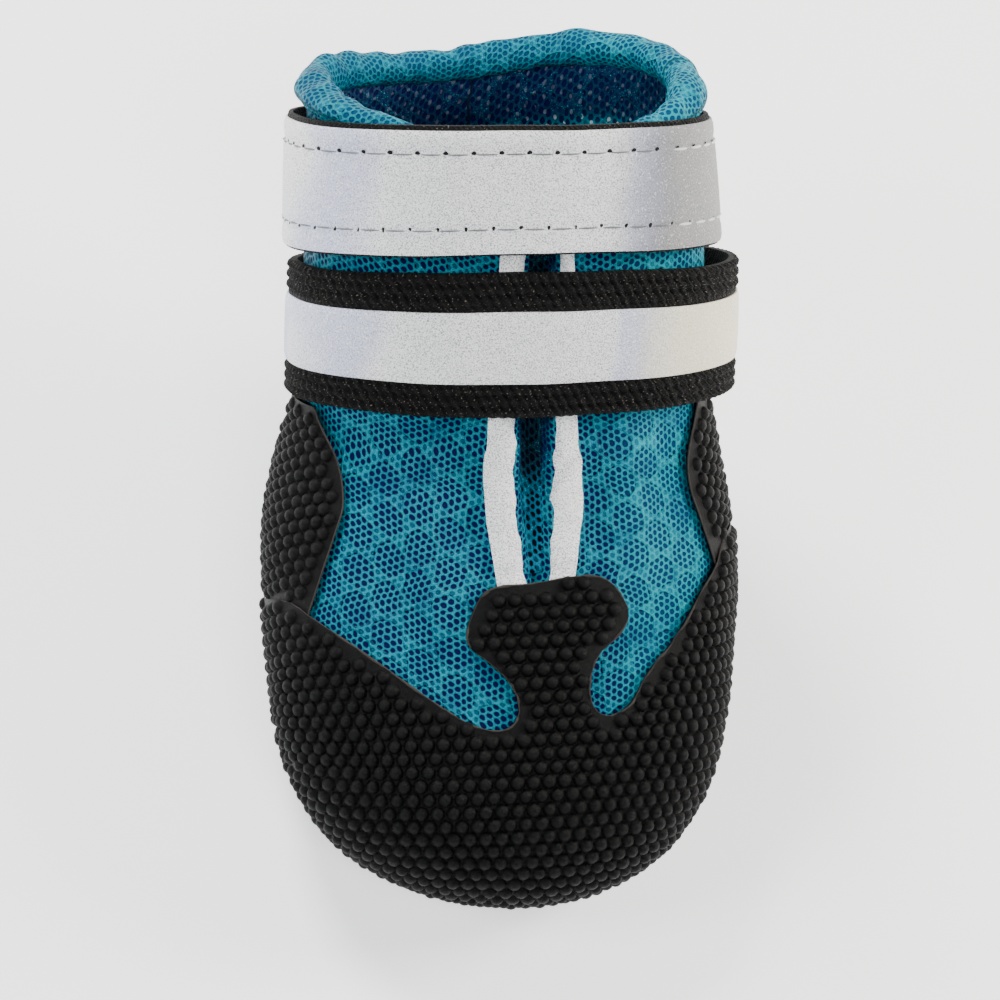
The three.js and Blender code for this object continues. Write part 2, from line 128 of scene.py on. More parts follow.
def last_point(row, angle):
    """Points of the last. Angle 0 is the +X side and a quarter turn is the instep."""
    row, angle = np.broadcast_arrays(np.asarray(row, float), np.asarray(angle, float))
    size = {name: section_size(row, name) for name in COLUMNS}
    y, z = footbed_line(np.where(row < NOSE_ROWS, row**2, size["base"]))
    lean = np.radians(size["lean"])
    across, along = np.cos(angle), np.sin(angle)
    height, widest = np.maximum(size["height"], 1e-6), size["widest"]
    reach = height * np.where(along > 0, 1 - widest, widest)
    power = np.where(along > 0, size["over"], size["under"])
    half = np.maximum(size["width"] / 2, 1e-6)
    radius = (np.abs(across / half) ** power + np.abs(along / reach) ** power) ** (-1 / power)
    up = height * widest + radius * along
    return np.stack([size["sway"] + radius * across, y - np.sin(lean) * up, z + np.cos(lean) * up], -1)


def between(x, low, high):
    """0 up to low, 1 from high, smooth between."""
    t = np.clip((x - low) / (high - low), 0, 1)
    return t * t * (3 - 2 * t)


def unit(vectors):
    return vectors / np.maximum(np.linalg.norm(vectors, axis=-1, keepdims=True), 1e-9)


def last_normal(row, angle):
    step = 0.02
    row = np.asarray(row, float)
    safe = np.maximum(row, step)
    along = last_point(safe + step, angle) - last_point(safe - step, angle)
    around = last_point(safe, angle + step) - last_point(safe, angle - step)
    normal = unit(np.cross(along, around))
    tip = np.broadcast_to(row < step, normal.shape[:-1])[..., None]
    return np.where(tip, np.array([0.0, -1.0, 0.0]), normal)


def skin_point(row, angle, offset):
    """Points at an offset outside the last, pressed flat where the boot stands."""
    offset = np.asarray(offset, float)
    points = last_point(row, angle) + last_normal(row, angle) * offset[..., None]
    points[..., 2] = np.maximum(points[..., 2], FOOTBED - offset)
    return points


def collar_row(angle):
    """Row of the collar's edge: lower in front, higher behind and on the sides."""
    rise = 0.07 - 0.64 * np.sin(angle) + 0.1 * np.cos(angle)
    return UPPER_STRAP + rise + 0.23 * np.cos(2 * angle) - 0.06 * np.sin(2 * angle)


def sock_rows(rings, spokes, top=None):
    """Rows and angles of a sock from the toe tip to the collar, or to a row of its own."""
    angle = np.linspace(0, TURN, spokes, endpoint=False)[None, :]
    share = np.linspace(0, 1, rings)[:, None]
    if top is not None:
        return share * top + 0 * angle, angle + 0 * share
    even = share * UPPER_STRAP
    stretch = np.maximum(0, (even - ANKLE) / (UPPER_STRAP - ANKLE))
    return even + stretch * (collar_row(angle) - UPPER_STRAP), angle + 0 * share


# ---------------------------------------------------------------- views that outlines are given in

FRONT_VIEW = math.radians(62)
SOLE_VIEW = math.radians(65)
TOP_VIEW = math.radians(90)


def seen_up(points, elevation):
    """Height of points in a view along the side plane."""
    return points[..., 1] * math.sin(elevation) + points[..., 2] * math.cos(elevation)


def view_point(x, up, elevation, depth=0.0):
    """Point of a view's plane, at a depth towards the side that the view looks from."""
    x, up = np.broadcast_arrays(np.asarray(x, float), np.asarray(up, float))
    y = up * math.sin(elevation) - depth * math.cos(elevation)
    z = up * math.cos(elevation) + depth * math.sin(elevation)
    return np.stack([x, y, z], -1)


def smooth_line(table, steps):
    """Points of a smooth line through a table of points."""
    points = np.array(table, float)
    line = []
    for i in range(len(points) - 1):
        a, b = points[i], points[i + 1]
        before = points[i - 1] if i > 0 else 2 * a - b
        after = points[i + 2] if i + 2 < len(points) else 2 * b - a
        for t in np.linspace(0, 1, steps, endpoint=False):
            line.append(
                0.5 * ((2 * a) + (b - before) * t + (2 * before - 5 * a + 4 * b - after) * t**2
                       + (3 * a - before - 3 * b + after) * t**3)
            )
    line.append(points[-1])
    return np.array(line)


def inside_outline(x, up, outline):
    """Whether points lie in a closed outline."""
    inside = np.zeros(np.shape(x), bool)
    for a, b in zip(outline, np.roll(outline, -1, 0)):
        crosses = (a[1] > up) != (b[1] > up)
        rise = b[1] - a[1] if b[1] != a[1] else 1e-9
        inside ^= crosses & (x < (b[0] - a[0]) * (up - a[1]) / rise + a[0])
    return inside


def distance_to_line(x, up, line):
    """Distance from points to an open line."""
    best = np.full(np.shape(x), 1e9)
    for a, b in zip(line[:-1], line[1:]):
        edge = b - a
        share = ((x - a[0]) * edge[0] + (up - a[1]) * edge[1]) / max(edge @ edge, 1e-12)
        share = np.clip(share, 0, 1)
        best = np.minimum(best, np.hypot(x - a[0] - share * edge[0], up - a[1] - share * edge[1]))
    return best


CENTRE = 1.5  # sideways place of the vamp's centre line
CAP_EDGE = smooth_line([
    (-44.5, 50.5), (-35.5, 50.2), (-31.5, 47.2), (-22.5, 40), (-16, 34.8), (-10.5, 31.2), (-6.1, 30.4),
    (-3.8, 32.4), (-4.1, 36), (-6.9, 39.6), (-10.6, 43.2), (-9.5, 47.6), (-6.9, 50.8), (-0.7, 51.4),
    (9.7, 52), (13.9, 47.4), (12.9, 44), (8.7, 40.4), (7.1, 36), (7.9, 32.6), (10.5, 31.6), (13.9, 33.4),
    (17.1, 37.8), (22.1, 42.6), (29.5, 51.6), (35.5, 59), (47.5, 62),
], 5)
CAP_OUTLINE = np.vstack([CAP_EDGE, [(49.5, -20), (-44.5, -20)]])  # closed far below the toe
WING_EDGE = smooth_line([(33, 46), (30, 54.5), (28, 60), (26.6, 64.5), (26.8, 70), (29, 77), (30, 84)], 5)
WING_BACK = np.array([(67, -10), (67.5, 9), (76.5, 30), (64, 44), (40, 60)], float)
FLANK_OUTLINE = np.vstack([WING_BACK, [(-20, 60), (-20, -10)]])
STRIPE_LEFT = {
    "up": (50.6, 56, 60.5, 64.5, 70, 75.5, 106),
    "inner": (-0.7, -1.15, -1.6, -1.7, -1.35, -1.1, -1.2),
    "outer": (-5.4, -6.0, -6.4, -6.6, -6.3, -5.6, -5.2),
}
STRIPE_RIGHT = {
    "up": (50.8, 56, 60.5, 64.4, 70, 75.4, 106),
    "inner": (1.8, 2.3, 2.9, 3.0, 3.6, 4.2, 3.2),
    "outer": (6.0, 6.9, 7.6, 8.1, 8.0, 7.7, 5.0),
}
SOLE_WIDTHS = np.array([
    (3.2, 0.0), (3.7, 6.2), (4.6, 10.6), (5.7, 14.2), (7.2, 17.5), (9.2, 21.2), (11.8, 24.7), (15, 28.2),
    (18.2, 30.3), (22, 31.3), (26.2, 31.7), (34.2, 30.8), (46.2, 28.7), (60, 27.4), (66.5, 26.5), (68, 25.3),
    (82, 12.6), (89, 10.5),
])
FOREFOOT_SWAY = -1.8  # sideways place of the sole's toe and ball
INSOLE_WIDTHS = np.array([
    (6.5, 0.0), (7.5, 8), (9.5, 14), (12.5, 19.5), (17, 24), (23, 26), (42, 23.5), (56, 21), (61, 17), (65, 12),
])


def sole_sway(up):
    """Sideways place of the sole's centre line, in its own view."""
    return FOREFOOT_SWAY * (1 - between(up, 24, 40))


# Soft folds of the upper in the front view: from, to, how wide, how deep. Troughs are positive.
FOLDS = [
    ((-9.4, 77), (-9.0, 60), 2.6, 0.75),
    ((-8.6, 60), (-6.5, 52), 2.6, 0.45),
    ((-18, 79), (-14, 52), 4.2, -0.55),
    ((-25, 64), (-16, 42), 3.2, 0.45),
    ((-13, 46), (-7, 36), 3.0, -0.45),
    ((10.6, 78), (10.2, 58), 2.3, 0.85),
    ((16.5, 78), (17.5, 52), 3.6, -0.6),
    ((24, 72), (17.5, 44), 3.4, 0.5),
    ((12, 56), (11, 36), 3.0, -0.35),
    ((-30, 78), (-24, 70), 2.5, 0.4),
    ((20, 98), (26, 84), 4.0, 0.5),
    ((-20, 100), (-22, 86), 4.0, 0.45),
]


def fold_depth(points, normals):
    """How far the upper's folds go in, where it faces forward."""
    x, up = points[..., 0], seen_up(points, FRONT_VIEW)
    depth = np.zeros(x.shape)
    for start, end, width, deep in FOLDS:
        away = distance_to_line(x, up, np.array([start, end], float))
        depth += deep * np.exp(-((away / width) ** 2))
    return depth * between(facing_forward(normals), 0.15, 0.5)


def pleat_sides(up):
    """X of the stripes' inner edges, left and right of the pleat."""
    return [np.interp(up, stripe["up"], stripe["inner"]) for stripe in (STRIPE_LEFT, STRIPE_RIGHT)]


def facing_forward(normals):
    """1 where a surface faces the front view, 0 where it is edge on."""
    return normals @ np.array([0, -math.cos(FRONT_VIEW), math.sin(FRONT_VIEW)])


def trough_depth(points, normals):
    """How far the pleat between the two stripes goes in."""
    x, up = points[..., 0], seen_up(points, FRONT_VIEW)
    left, right = pleat_sides(up)
    middle, half = (left + right) / 2, (right - left) / 2
    wall = 1 - between(np.abs(x - middle), half * 0.45, half * 1.02)
    deep = np.interp(up, (47, 52, 62, 76, 106), (0, 1.2, 2.1, 3.4, 3.0))
    return deep * wall * (facing_forward(normals) > 0.3)


# ---------------------------------------------------------------- meshes


def faced_out(points, faces):
    """The faces as lists, turned so that a closed mesh has them pointing out."""
    points = np.asarray(points, float)
    by_size = {}
    for face in faces:
        by_size.setdefault(len(face), []).append(face)
    volume = 0.0
    for size, group in by_size.items():
        corners = points[np.array(group)]
        for k in range(1, size - 1):
            volume += np.einsum("ij,ij->", corners[:, 0], np.cross(corners[:, k], corners[:, k + 1]))
    return [[int(i) for i in (face if volume > 0 else face[::-1])] for face in faces]


def new_piece(name, points, faces, finishes, face_finish=None, sharp=None):
    """A mesh object from points in the last's millimetres."""
    mesh = bpy.data.meshes.new(name)
    placed = (np.asarray(points, float) + FORM_PLACE) * MM
    mesh.from_pydata(placed.tolist(), [], faced_out(placed, faces))
    for finish in finishes:
        mesh.materials.append(finish)
    if face_finish is not None:
        mesh.polygons.foreach_set("material_index", np.asarray(face_finish, np.int32))
    mesh.shade_smooth()
    if sharp:
        mesh.set_sharp_from_angle(angle=math.radians(sharp))
    mesh.update()
    piece = bpy.data.objects.new(name, mesh)
    bpy.context.scene.collection.objects.link(piece)
    return piece


def give_cloth(piece, values):
    """Stores a place on the cloth, in millimetres, at each point of a piece."""
    layer = piece.data.attributes.new("cloth", "FLOAT_VECTOR", "POINT")
    layer.data.foreach_set("vector", np.asarray(values, float).ravel())


def settle(piece, slot, *nodes):
    """Rides on the boot and stands for its nodes. The slot is not used."""
    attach(piece, "root")
    if nodes:
        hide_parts(*nodes)
    return piece


def grid_faces(rows, columns, wrap=False, start=0, flip=False):
    """Four-sided faces of a grid of points, joined round when it wraps."""
    i, j = np.meshgrid(np.arange(rows - 1), np.arange(columns if wrap else columns - 1), indexing="ij")
    beside = (j + 1) % columns
    low, high = i * columns, (i + 1) * columns
    quads = np.stack([low + j, low + beside, high + beside, high + j], -1)
    quads = quads.reshape(-1, 4) + start
    return quads[:, ::-1] if flip else quads


def slab(outer, inner, wrap=False):
    """Points and faces of a sheet between an outer and an inner grid, closed at its edges."""
    rows, columns = outer.shape[:2]
    points = np.concatenate([outer.reshape(-1, 3), inner.reshape(-1, 3)])
    start = rows * columns
    faces = [grid_faces(rows, columns, wrap), grid_faces(rows, columns, wrap, start, True)]
    ids = np.arange(start).reshape(rows, columns)

    def seam(line, flip):
        after = np.roll(line, -1) if wrap and len(line) == columns else line[1:]
        here = line if wrap and len(line) == columns else line[:-1]
        quads = np.stack([here, here + start, after + start, after], -1)
        return quads[:, ::-1] if flip else quads

    faces += [seam(ids[0], False), seam(ids[-1], True)]
    if not wrap:
        faces += [seam(ids[:, 0], True), seam(ids[:, -1], False)]
    return points, np.concatenate(faces)


def tree_of(grid):
    """Something rays can be cast at, from a grid of points that wraps round."""
    rows, columns = grid.shape[:2]
    faces = grid_faces(rows, columns, True, flip=True)
    return BVHTree.FromPolygons(grid.reshape(-1, 3).tolist(), faces.tolist())


RAY_START = 120.0  # distance from which rays are cast, millimetres


def cast(tree, x, up, elevation, below=False):
    """Points and normals where a view's rays meet a surface. A ray that misses repeats the last hit."""
    side = -1 if below else 1
    shape = np.broadcast(x, up).shape
    starts = view_point(x, up, elevation, side * RAY_START).reshape(-1, 3)
    ray = Vector((0, math.cos(elevation) * side, -math.sin(elevation) * side))
    places, normals = [], []
    previous = (Vector(starts[0]), Vector((0, 0, 1)))
    for start in starts:
        place, normal, _, _ = tree.ray_cast(Vector(start), ray)
        if place is None:
            place, normal = previous
        if normal.dot(ray) > 0:
            normal = -normal
        previous = (place, normal)
        places.append(place[:])
        normals.append(normal[:])
    return np.array(places).reshape(*shape, 3), np.array(normals).reshape(*shape, 3)


def sweep(line, radius, sides, up=None):
    """Points and faces of a round cord along a line, with a radius at each point."""
    line = np.asarray(line, float)
    count = len(line)
    radius = np.broadcast_to(radius, (count,))
    tangent = unit(np.gradient(line, axis=0))
    if up is None:
        up = np.zeros((count, 3))
        first = np.array([0, 0, 1.0]) if abs(tangent[0][2]) < 0.9 else np.array([1.0, 0, 0])
        for i in range(count):
            first = first - tangent[i] * (first @ tangent[i])
            first = first / np.linalg.norm(first)
            up[i] = first
    across = unit(np.cross(tangent, up))
    out = np.cross(across, tangent)
    around = np.linspace(0, TURN, sides, endpoint=False)
    ring = across[:, None] * np.cos(around)[None, :, None] + out[:, None] * np.sin(around)[None, :, None]
    points = (line[:, None] + ring * radius[:, None, None]).reshape(-1, 3)
    faces = grid_faces(count, sides, True).tolist()
    faces += [list(range(sides))[::-1], list(range((count - 1) * sides, count * sides))]
    return points, faces


def joined(parts):
    """Several meshes as one list of points and faces."""
    points, faces, start = [], [], 0
    for part_points, part_faces in parts:
        points.append(np.asarray(part_points))
        faces += [[index + start for index in face] for face in part_faces]
        start += len(part_points)
    return np.concatenate(points), faces


def run_length(line):
    """Distance from a line's start to each of its points."""
    return np.concatenate([[0], np.cumsum(np.linalg.norm(np.diff(line, axis=0), axis=1))])


def along_line(line, normals):
    """Length of a line, and a function that gives its points and normals at distances."""
    length = run_length(line)

    def at(distance):
        return [
            np.stack([np.interp(distance, length, table[:, k]) for k in range(3)], -1) for table in (line, normals)
        ]

    return length[-1], at


def stitches(line, normals, pitch, length, radius, lift=0.12, wobble=0.0, seed=1):
    """A row of thread stitches laid along a line on a surface."""
    chance = random.Random(seed)
    total, at = along_line(line, normals)
    parts = []
    count = int(total / pitch)
    for k in range(count):
        middle = (k + 0.5) * pitch + chance.uniform(-wobble, wobble)
        spots = np.linspace(middle - length / 2, middle + length / 2, 6)
        points, out = at(np.clip(spots, 0, total))
        bow = np.sin(np.linspace(0, math.pi, 6))
        raised = points + unit(out) * (lift * bow - radius * 0.6)[:, None]
        parts.append(sweep(raised, radius * (0.45 + 0.55 * bow), 6))
    return joined(parts)


def solid_mesh(name, points, faces):
    """A closed mesh object in the last's millimetres, for cutting."""
    mesh = bpy.data.meshes.new(name)
    mesh.from_pydata(np.asarray(points).tolist(), [], faced_out(points, faces))
    mesh.update()
    piece = bpy.data.objects.new(name, mesh)
    bpy.context.scene.collection.objects.link(piece)
    return piece


def last_solid(offset, rings, spokes, top):
    """Closed solid of the last at an offset, up to a row."""
    row, angle = sock_rows(rings, spokes, top)
    grid = skin_point(row, angle, offset)
    grid[0] = grid[0].mean(0) + (grid[0] - grid[0].mean(0)) * 0.02
    points = np.concatenate([grid.reshape(-1, 3), grid[0].mean(0)[None], grid[-1].mean(0)[None]])
    faces = grid_faces(rings, spokes, True).tolist()
    low, high = rings * spokes, rings * spokes + 1
    faces += [[low, (j + 1) % spokes, j] for j in range(spokes)]
    end = (rings - 1) * spokes
    faces += [[high, end + j, end + (j + 1) % spokes] for j in range(spokes)]
    return solid_mesh("last", points, faces)


def prism_solid(outline, place_near, place_far):
    """Closed prism of an outline between two placings of it."""
    count = len(outline)
    points = np.concatenate([place_near(outline), place_far(outline)])
    faces = [list(range(count))[::-1], list(range(count, 2 * count))]
    faces += [[i, (i + 1) % count, (i + 1) % count + count, i + count] for i in range(count)]
    return solid_mesh("prism", points, faces)


FAR = 60.0  # beyond every side of the last, millimetres


def view_prism(outline, elevation, near=-FAR, far=FAR):
    """Closed prism of an outline along a view, between two depths."""
    return prism_solid(
        outline,
        lambda line: view_point(line[:, 0], line[:, 1], elevation, near),
        lambda line: view_point(line[:, 0], line[:, 1], elevation, far),
    )


def side_prism(outline):
    """Closed prism of a side outline, right through the last."""
    return prism_solid(
        outline,
        lambda line: np.stack([np.full(len(line), -FAR), line[:, 0], line[:, 1]], -1),
        lambda line: np.stack([np.full(len(line), FAR), line[:, 0], line[:, 1]], -1),
    )


def cut(target, tool, operation):
    """Applies one cut or overlap to a solid, and removes the tool."""
    for solid in (target, tool):
        solid.data.validate()
    step = target.modifiers.new("cut", "BOOLEAN")
    step.operation = operation
    step.object = tool
    step.solver = "EXACT"
    view = bpy.context.evaluated_depsgraph_get()
    result = bpy.data.meshes.new_from_object(target.evaluated_get(view))
    target.modifiers.clear()
    old = target.data
    target.data = result
    bpy.data.meshes.remove(old)
    bpy.data.objects.remove(tool)
    if not len(result.polygons):
        raise RuntimeError("a cut left nothing")


def points_of(mesh):
    points = np.empty(len(mesh.vertices) * 3)
    mesh.vertices.foreach_get("co", points)
    return points.reshape(-1, 3)


def lattice(tree, start, heading, pitch, allowed):
    """An even triangular pattern of spots that grows over a curved surface from a start."""
    place, normal, _, _ = tree.find_nearest(Vector(start))
    heading = (Vector(heading) - normal * Vector(heading).dot(normal)).normalized()
    spots, cells = [], {}

    def cell(point):
        return tuple(int(math.floor(c / pitch)) for c in point)

    def crowded(point):
        x, y, z = cell(point)
        for dx in (-1, 0, 1):
            for dy in (-1, 0, 1):
                for dz in (-1, 0, 1):
                    for other in cells.get((x + dx, y + dy, z + dz), ()):
                        if (other - point).length < pitch * 0.76:
                            return True
        return False

    queue = [(place, normal, heading)]
    cells.setdefault(cell(place), []).append(place)
    spots.append((place, normal))
    for place, normal, heading in queue:
        side = normal.cross(heading)
        for k in range(6):
            turned = heading * math.cos(k * math.pi / 3) + side * math.sin(k * math.pi / 3)
            near, out, _, _ = tree.find_nearest(place + turned * pitch)
            step = near - place
            near, out, _, _ = tree.find_nearest(place + step.normalized() * pitch)
            if crowded(near) or not allowed(near):
                continue
            carried = (heading - out * heading.dot(out)).normalized()
            queue.append((near, out, carried))
            cells.setdefault(cell(near), []).append(near)
            spots.append((near, out))
    return spots


# ---------------------------------------------------------------- shader expressions


class Value:
    """A number that varies over a surface. Arithmetic on it adds Math nodes."""

    def __init__(self, finish, socket):
        self.finish = finish
        self.socket = socket

    def math(self, operation, *others):
        return self.finish.node("ShaderNodeMath", {"operation": operation}, dict(enumerate((self, *others))))

    def __add__(self, other):
        return self.math("ADD", other)

    def __sub__(self, other):
        return self.math("SUBTRACT", other)

    def __rsub__(self, other):
        return self.finish.node("ShaderNodeMath", {"operation": "SUBTRACT"}, {0: other, 1: self})

    def __mul__(self, other):
        return self.math("MULTIPLY", other)

    __radd__ = __add__
    __rmul__ = __mul__

    def cos(self):
        return self.math("COSINE")

    def sin(self):
        return self.math("SINE")

    def span(self, low, high):
        """0 at low, 1 at high, smooth between."""
        settings = {"interpolation_type": "SMOOTHSTEP", "clamp": True}
        return self.finish.node("ShaderNodeMapRange", settings, {"Value": self, "From Min": low, "From Max": high})


class Finish:
    """A material whose constants sit on the shader and whose variation is written as expressions."""

    def __init__(self, name, **constants):
        self.material = bpy.data.materials.new(name)
        self.material.use_nodes = True
        self.tree = self.material.node_tree
        self.shader = self.tree.nodes["Principled BSDF"]
        for key, value in constants.items():
            self.shader_socket(key).default_value = value

    def shader_socket(self, key):
        """The shader's socket of a name in lower case with underscores."""
        return next(s for s in self.shader.inputs if s.name.lower().replace(" ", "_") == key)

    def node(self, kind, settings=None, inputs=None, output=0):
        node = self.tree.nodes.new(kind)
        for key, value in (settings or {}).items():
            setattr(node, key, value)
        for key, value in (inputs or {}).items():
            self.plug(node.inputs[key], value)
        return Value(self, node.outputs[output])

    def plug(self, socket, value):
        if isinstance(value, Value):
            self.tree.links.new(value.socket, socket)
        else:
            socket.default_value = value

    def drive(self, **inputs):
        for key, value in inputs.items():
            self.plug(self.shader_socket(key), value)
        return self.material

    def mix(self, share, first, second):
        settings = {"data_type": "RGBA", "clamp_factor": True}
        return self.node("ShaderNodeMix", settings, {0: share, 6: first, 7: second}, 2)

    def cloth(self):
        """Place on the cloth in millimetres: across, along and a third measure of the piece's own."""
        place = self.node("ShaderNodeAttribute", {"attribute_name": "cloth"}, output="Vector")
        return place, [self.node("ShaderNodeSeparateXYZ", None, {0: place}, axis) for axis in "XYZ"]

    def place(self):
        """Place in the frame, in millimetres."""
        spot = self.node("ShaderNodeTexCoord", output="Object")
        return self.node("ShaderNodeVectorMath", {"operation": "SCALE"}, {0: spot, "Scale": 1000.0})

    def sideways(self, place):
        return self.node("ShaderNodeSeparateXYZ", None, {0: place}, "X")

    def noise(self, place, size, detail=2.0, rough=0.5):
        return self.node(
            "ShaderNodeTexNoise", None,
            {"Vector": place, "Scale": 1.0 / size, "Detail": detail, "Roughness": rough}, 0,
        )

    def bump(self, height, distance):
        inputs = {"Height": height, "Distance": distance * MM, "Strength": 1.0}
        return self.node("ShaderNodeBump", None, inputs)

    def honeycomb(self, across, along, period):
        """3 at the centres of a triangular pattern, -1 midway between two and -1.5 between three."""
        turn = TURN / period
        slant = along * (math.sqrt(3) / 2)
        first = (across * turn).cos()
        second = ((across * 0.5 + slant) * turn).cos()
        third = ((across * 0.5 - slant) * turn).cos()
        return first + second + third


def rgb(red, green, blue):
    """A colour given as it looks on a screen, 0 to 255, in the shader's own scale."""
    return tuple((c / 255) ** 2.2 for c in (red, green, blue)) + (1.0,)


def mesh_finish(name, colours, cell=5.0, hole=0.96, relief=0.6, pinholes=0.0):
    """Knitted air mesh: small holes in slanted rows, in cells with closed, brighter ridges."""
    finish = Finish(name, specular_ior_level=0.12)
    place, (across, along, dark) = finish.cloth()
    drift = finish.noise(place, 9.0, 1.0) - 0.5
    wander = finish.noise(place, 1.6, 1.0) - 0.5
    u = across + drift * 1.6 + wander * 0.55
    v = along + across * 0.16 + drift * 1.2 - wander * 0.45
    holes = finish.honeycomb(u, v, hole).span(-0.85, 0.75)
    ridge = finish.honeycomb(u + v * 0.12, v, cell).span(-0.7, -0.98)
    yarn = finish.noise(place, 0.16, 2.0, 0.7)
    patch = finish.noise(place, 6.5, 2.0)
    taut = finish.sideways(finish.place()).span(9, 19)
    open_hole = holes * (1 - ridge * 0.55) * (0.88 + patch * 0.4 - taut * 0.1)
    thread = finish.mix((yarn - 0.34) * 2.1 + ridge * 0.1 + taut * 0.28, colours["yarn"], colours["light"])
    thread = finish.mix(patch.span(0.42, 0.75) * 0.5, thread, colours["shade"])
    behind = finish.mix(taut * 0.6, colours["hole"], colours["shade"])
    colour = finish.mix(open_hole.span(0.22, 0.62), thread, behind)
    # The third cloth measure mixes towards the hole colour: painted shade of the pleat's deep top on the upper and
    # the pleat, and a darker band below the collar on the lining.
    colour = finish.mix(dark * 0.88, colour, colours["hole"])
    glint = finish.noise(place, 0.2, 0.0).span(0.68, 0.78) * (1 - open_hole) * (0.2 + ridge * 0.4)
    colour = finish.mix(glint, colour, rgb(70, 196, 212))
    if pinholes:
        spark = finish.honeycomb(u, v, 1.5).span(1.7, 2.3) * finish.noise(place, 1.3, 0.0).span(0.4, 0.5)
        colour = finish.mix(spark * pinholes * (1 - dark * 0.9), colour, rgb(214, 234, 240))
    height = (1 - open_hole) * 0.8 + ridge * 0.6 + yarn * 0.3
    rough = 0.5 + open_hole * 0.35
    return finish.drive(base_color=colour, normal=finish.bump(height, relief), roughness=rough)


def nubby_finish(name):
    """Black coated cloth with a fine grain and a faint dusty mottle."""
    finish = Finish(name, specular_ior_level=0.13)
    place = finish.place()
    grain = finish.noise(place, 0.2, 3.0, 0.65)
    cloud = finish.noise(place, 7.0, 2.0)
    colour = finish.mix(grain * 0.5 + cloud * 0.35, rgb(1, 2, 2), rgb(9, 10, 10))
    rough = 0.34 + grain * 0.2 + cloud * 0.1
    return finish.drive(base_color=colour, roughness=rough, normal=finish.bump(grain, 0.14))


def tape_finish(name, painted_cream_light=0.0, end_shade_amount=0.0):
    """Silver reflective tape of tiny glass beads, with painted blue reflections in two strips, painted pale yellow
    light and painted shade towards +X.
    """
    finish = Finish(name, specular_ior_level=0.5)
    place = finish.place()
    sideways = finish.sideways(place)
    beads = finish.noise(place, 0.2, 2.0, 0.8)
    glint = finish.noise(place, 0.3, 0.0).span(0.64, 0.76)
    patch = finish.noise(place, 1.1, 2.0, 0.6)
    drift = finish.noise(place, 14.0, 1.0) - 0.5
    wave = sideways + drift * 9
    # Painted reflection: two strips across the frame, tinted blue as a reflection of cool light.
    blue_reflection_bands = wave.span(-34, -30) * wave.span(-22, -27) + wave.span(10, 14) * wave.span(21, 16)
    colour = finish.mix(beads.span(0.34, 0.56), rgb(116, 119, 125), rgb(255, 255, 255))
    colour = finish.mix(blue_reflection_bands * 0.42, colour, rgb(140, 152, 214))
    # Painted light: a pale yellow glow of the beads, growing towards +X.
    colour = finish.mix(wave.span(12, 24) * painted_cream_light, colour, rgb(232, 222, 178))
    # Painted shade: the tape darkens to grey towards +X, and its painted glints fade there.
    painted_end_shade = wave.span(6, 20) * end_shade_amount
    colour = finish.mix(painted_end_shade, colour, rgb(88, 88, 86))
    colour = finish.mix(patch.span(0.62, 0.8) * 0.25, colour, rgb(110, 112, 116))
    colour = finish.mix(glint * (0.85 - painted_end_shade * 0.7), colour, rgb(255, 255, 255))
    rough = 0.36 + beads * 0.2 + patch * 0.12
    bead_bump = finish.bump(beads + patch * 0.4 + glint * 0.5, 0.1)
    metal = beads.span(0.45, 0.7) * 0.2
    return finish.drive(base_color=colour, roughness=rough, metallic=metal, normal=bead_bump)


def webbing_finish(name):
    """Black woven webbing: fine twill cords with a dull sheen."""
    finish = Finish(name, specular_ior_level=0.22)
    place, (across, along, _) = finish.cloth()
    twill = ((across + along * 0.55) * (TURN / 0.85)).sin()
    cords = (along * (TURN / 0.6)).sin() * (across * (TURN / 0.7)).sin()
    fuzz = finish.noise(place, 0.12, 2.0, 0.7)
    weave = twill * 0.3 + cords * 0.35 + fuzz * 0.6
    colour = finish.mix(weave.span(0.1, 1.0), rgb(1, 1, 1), rgb(16, 16, 15))
    fleck = finish.noise(place, 0.26, 0.0).span(0.66, 0.78) * weave.span(0.2, 0.6)
    colour = finish.mix(fleck * 0.75, colour, rgb(128, 122, 110))
    return finish.drive(base_color=colour, roughness=0.62 + fuzz * 0.25, normal=finish.bump(weave, 0.3))


def rubber_finish(name):
    """Satin black rubber with a faint mould grain, and dust in its hollows."""
    finish = Finish(name, specular_ior_level=0.3)
    place = finish.place()
    _, (_, _, height) = finish.cloth()
    grain = finish.noise(place, 0.25, 2.0, 0.6)
    cloud = finish.noise(place, 8.0, 3.0)
    colour = finish.mix(grain * 0.3 + cloud * 0.4, rgb(16, 17, 20), rgb(34, 35, 38))
    dust = (1 - height.span(0.1, 0.7)) * cloud.span(0.35, 0.7)
    colour = finish.mix(dust * 0.25, colour, rgb(84, 82, 78))
    rough = 0.44 + grain * 0.16 + dust * 0.25
    return finish.drive(base_color=colour, roughness=rough, normal=finish.bump(grain, 0.05))


def plain_cloth_finish(name, dark, light, size=0.35, rough=0.8):
    """Fine cloth, thread or felt with a mottled grain."""
    finish = Finish(name, specular_ior_level=0.15, sheen_weight=0.05, sheen_roughness=0.6)
    place = finish.place()
    grain = finish.noise(place, size, 3.0, 0.7)
    cloud = finish.noise(place, 6.0, 1.0)
    colour = finish.mix(grain * 0.7 + cloud * 0.3, dark, light)
    return finish.drive(base_color=colour, roughness=rough + grain * 0.1, normal=finish.bump(grain, 0.12))


def floor_finish(name, colour):
    """Pale studio floor that gives off some light of its own."""
    finish = Finish(name, specular_ior_level=0.1, emission_strength=0.85)
    speck = finish.noise(finish.place(), 40.0, 2.0)
    pale = finish.mix(speck * 0.12, colour, (0.85, 0.85, 0.85, 1))
    return finish.drive(base_color=pale, emission_color=pale, roughness=0.7 + speck * 0.1)


# ---------------------------------------------------------------- settings


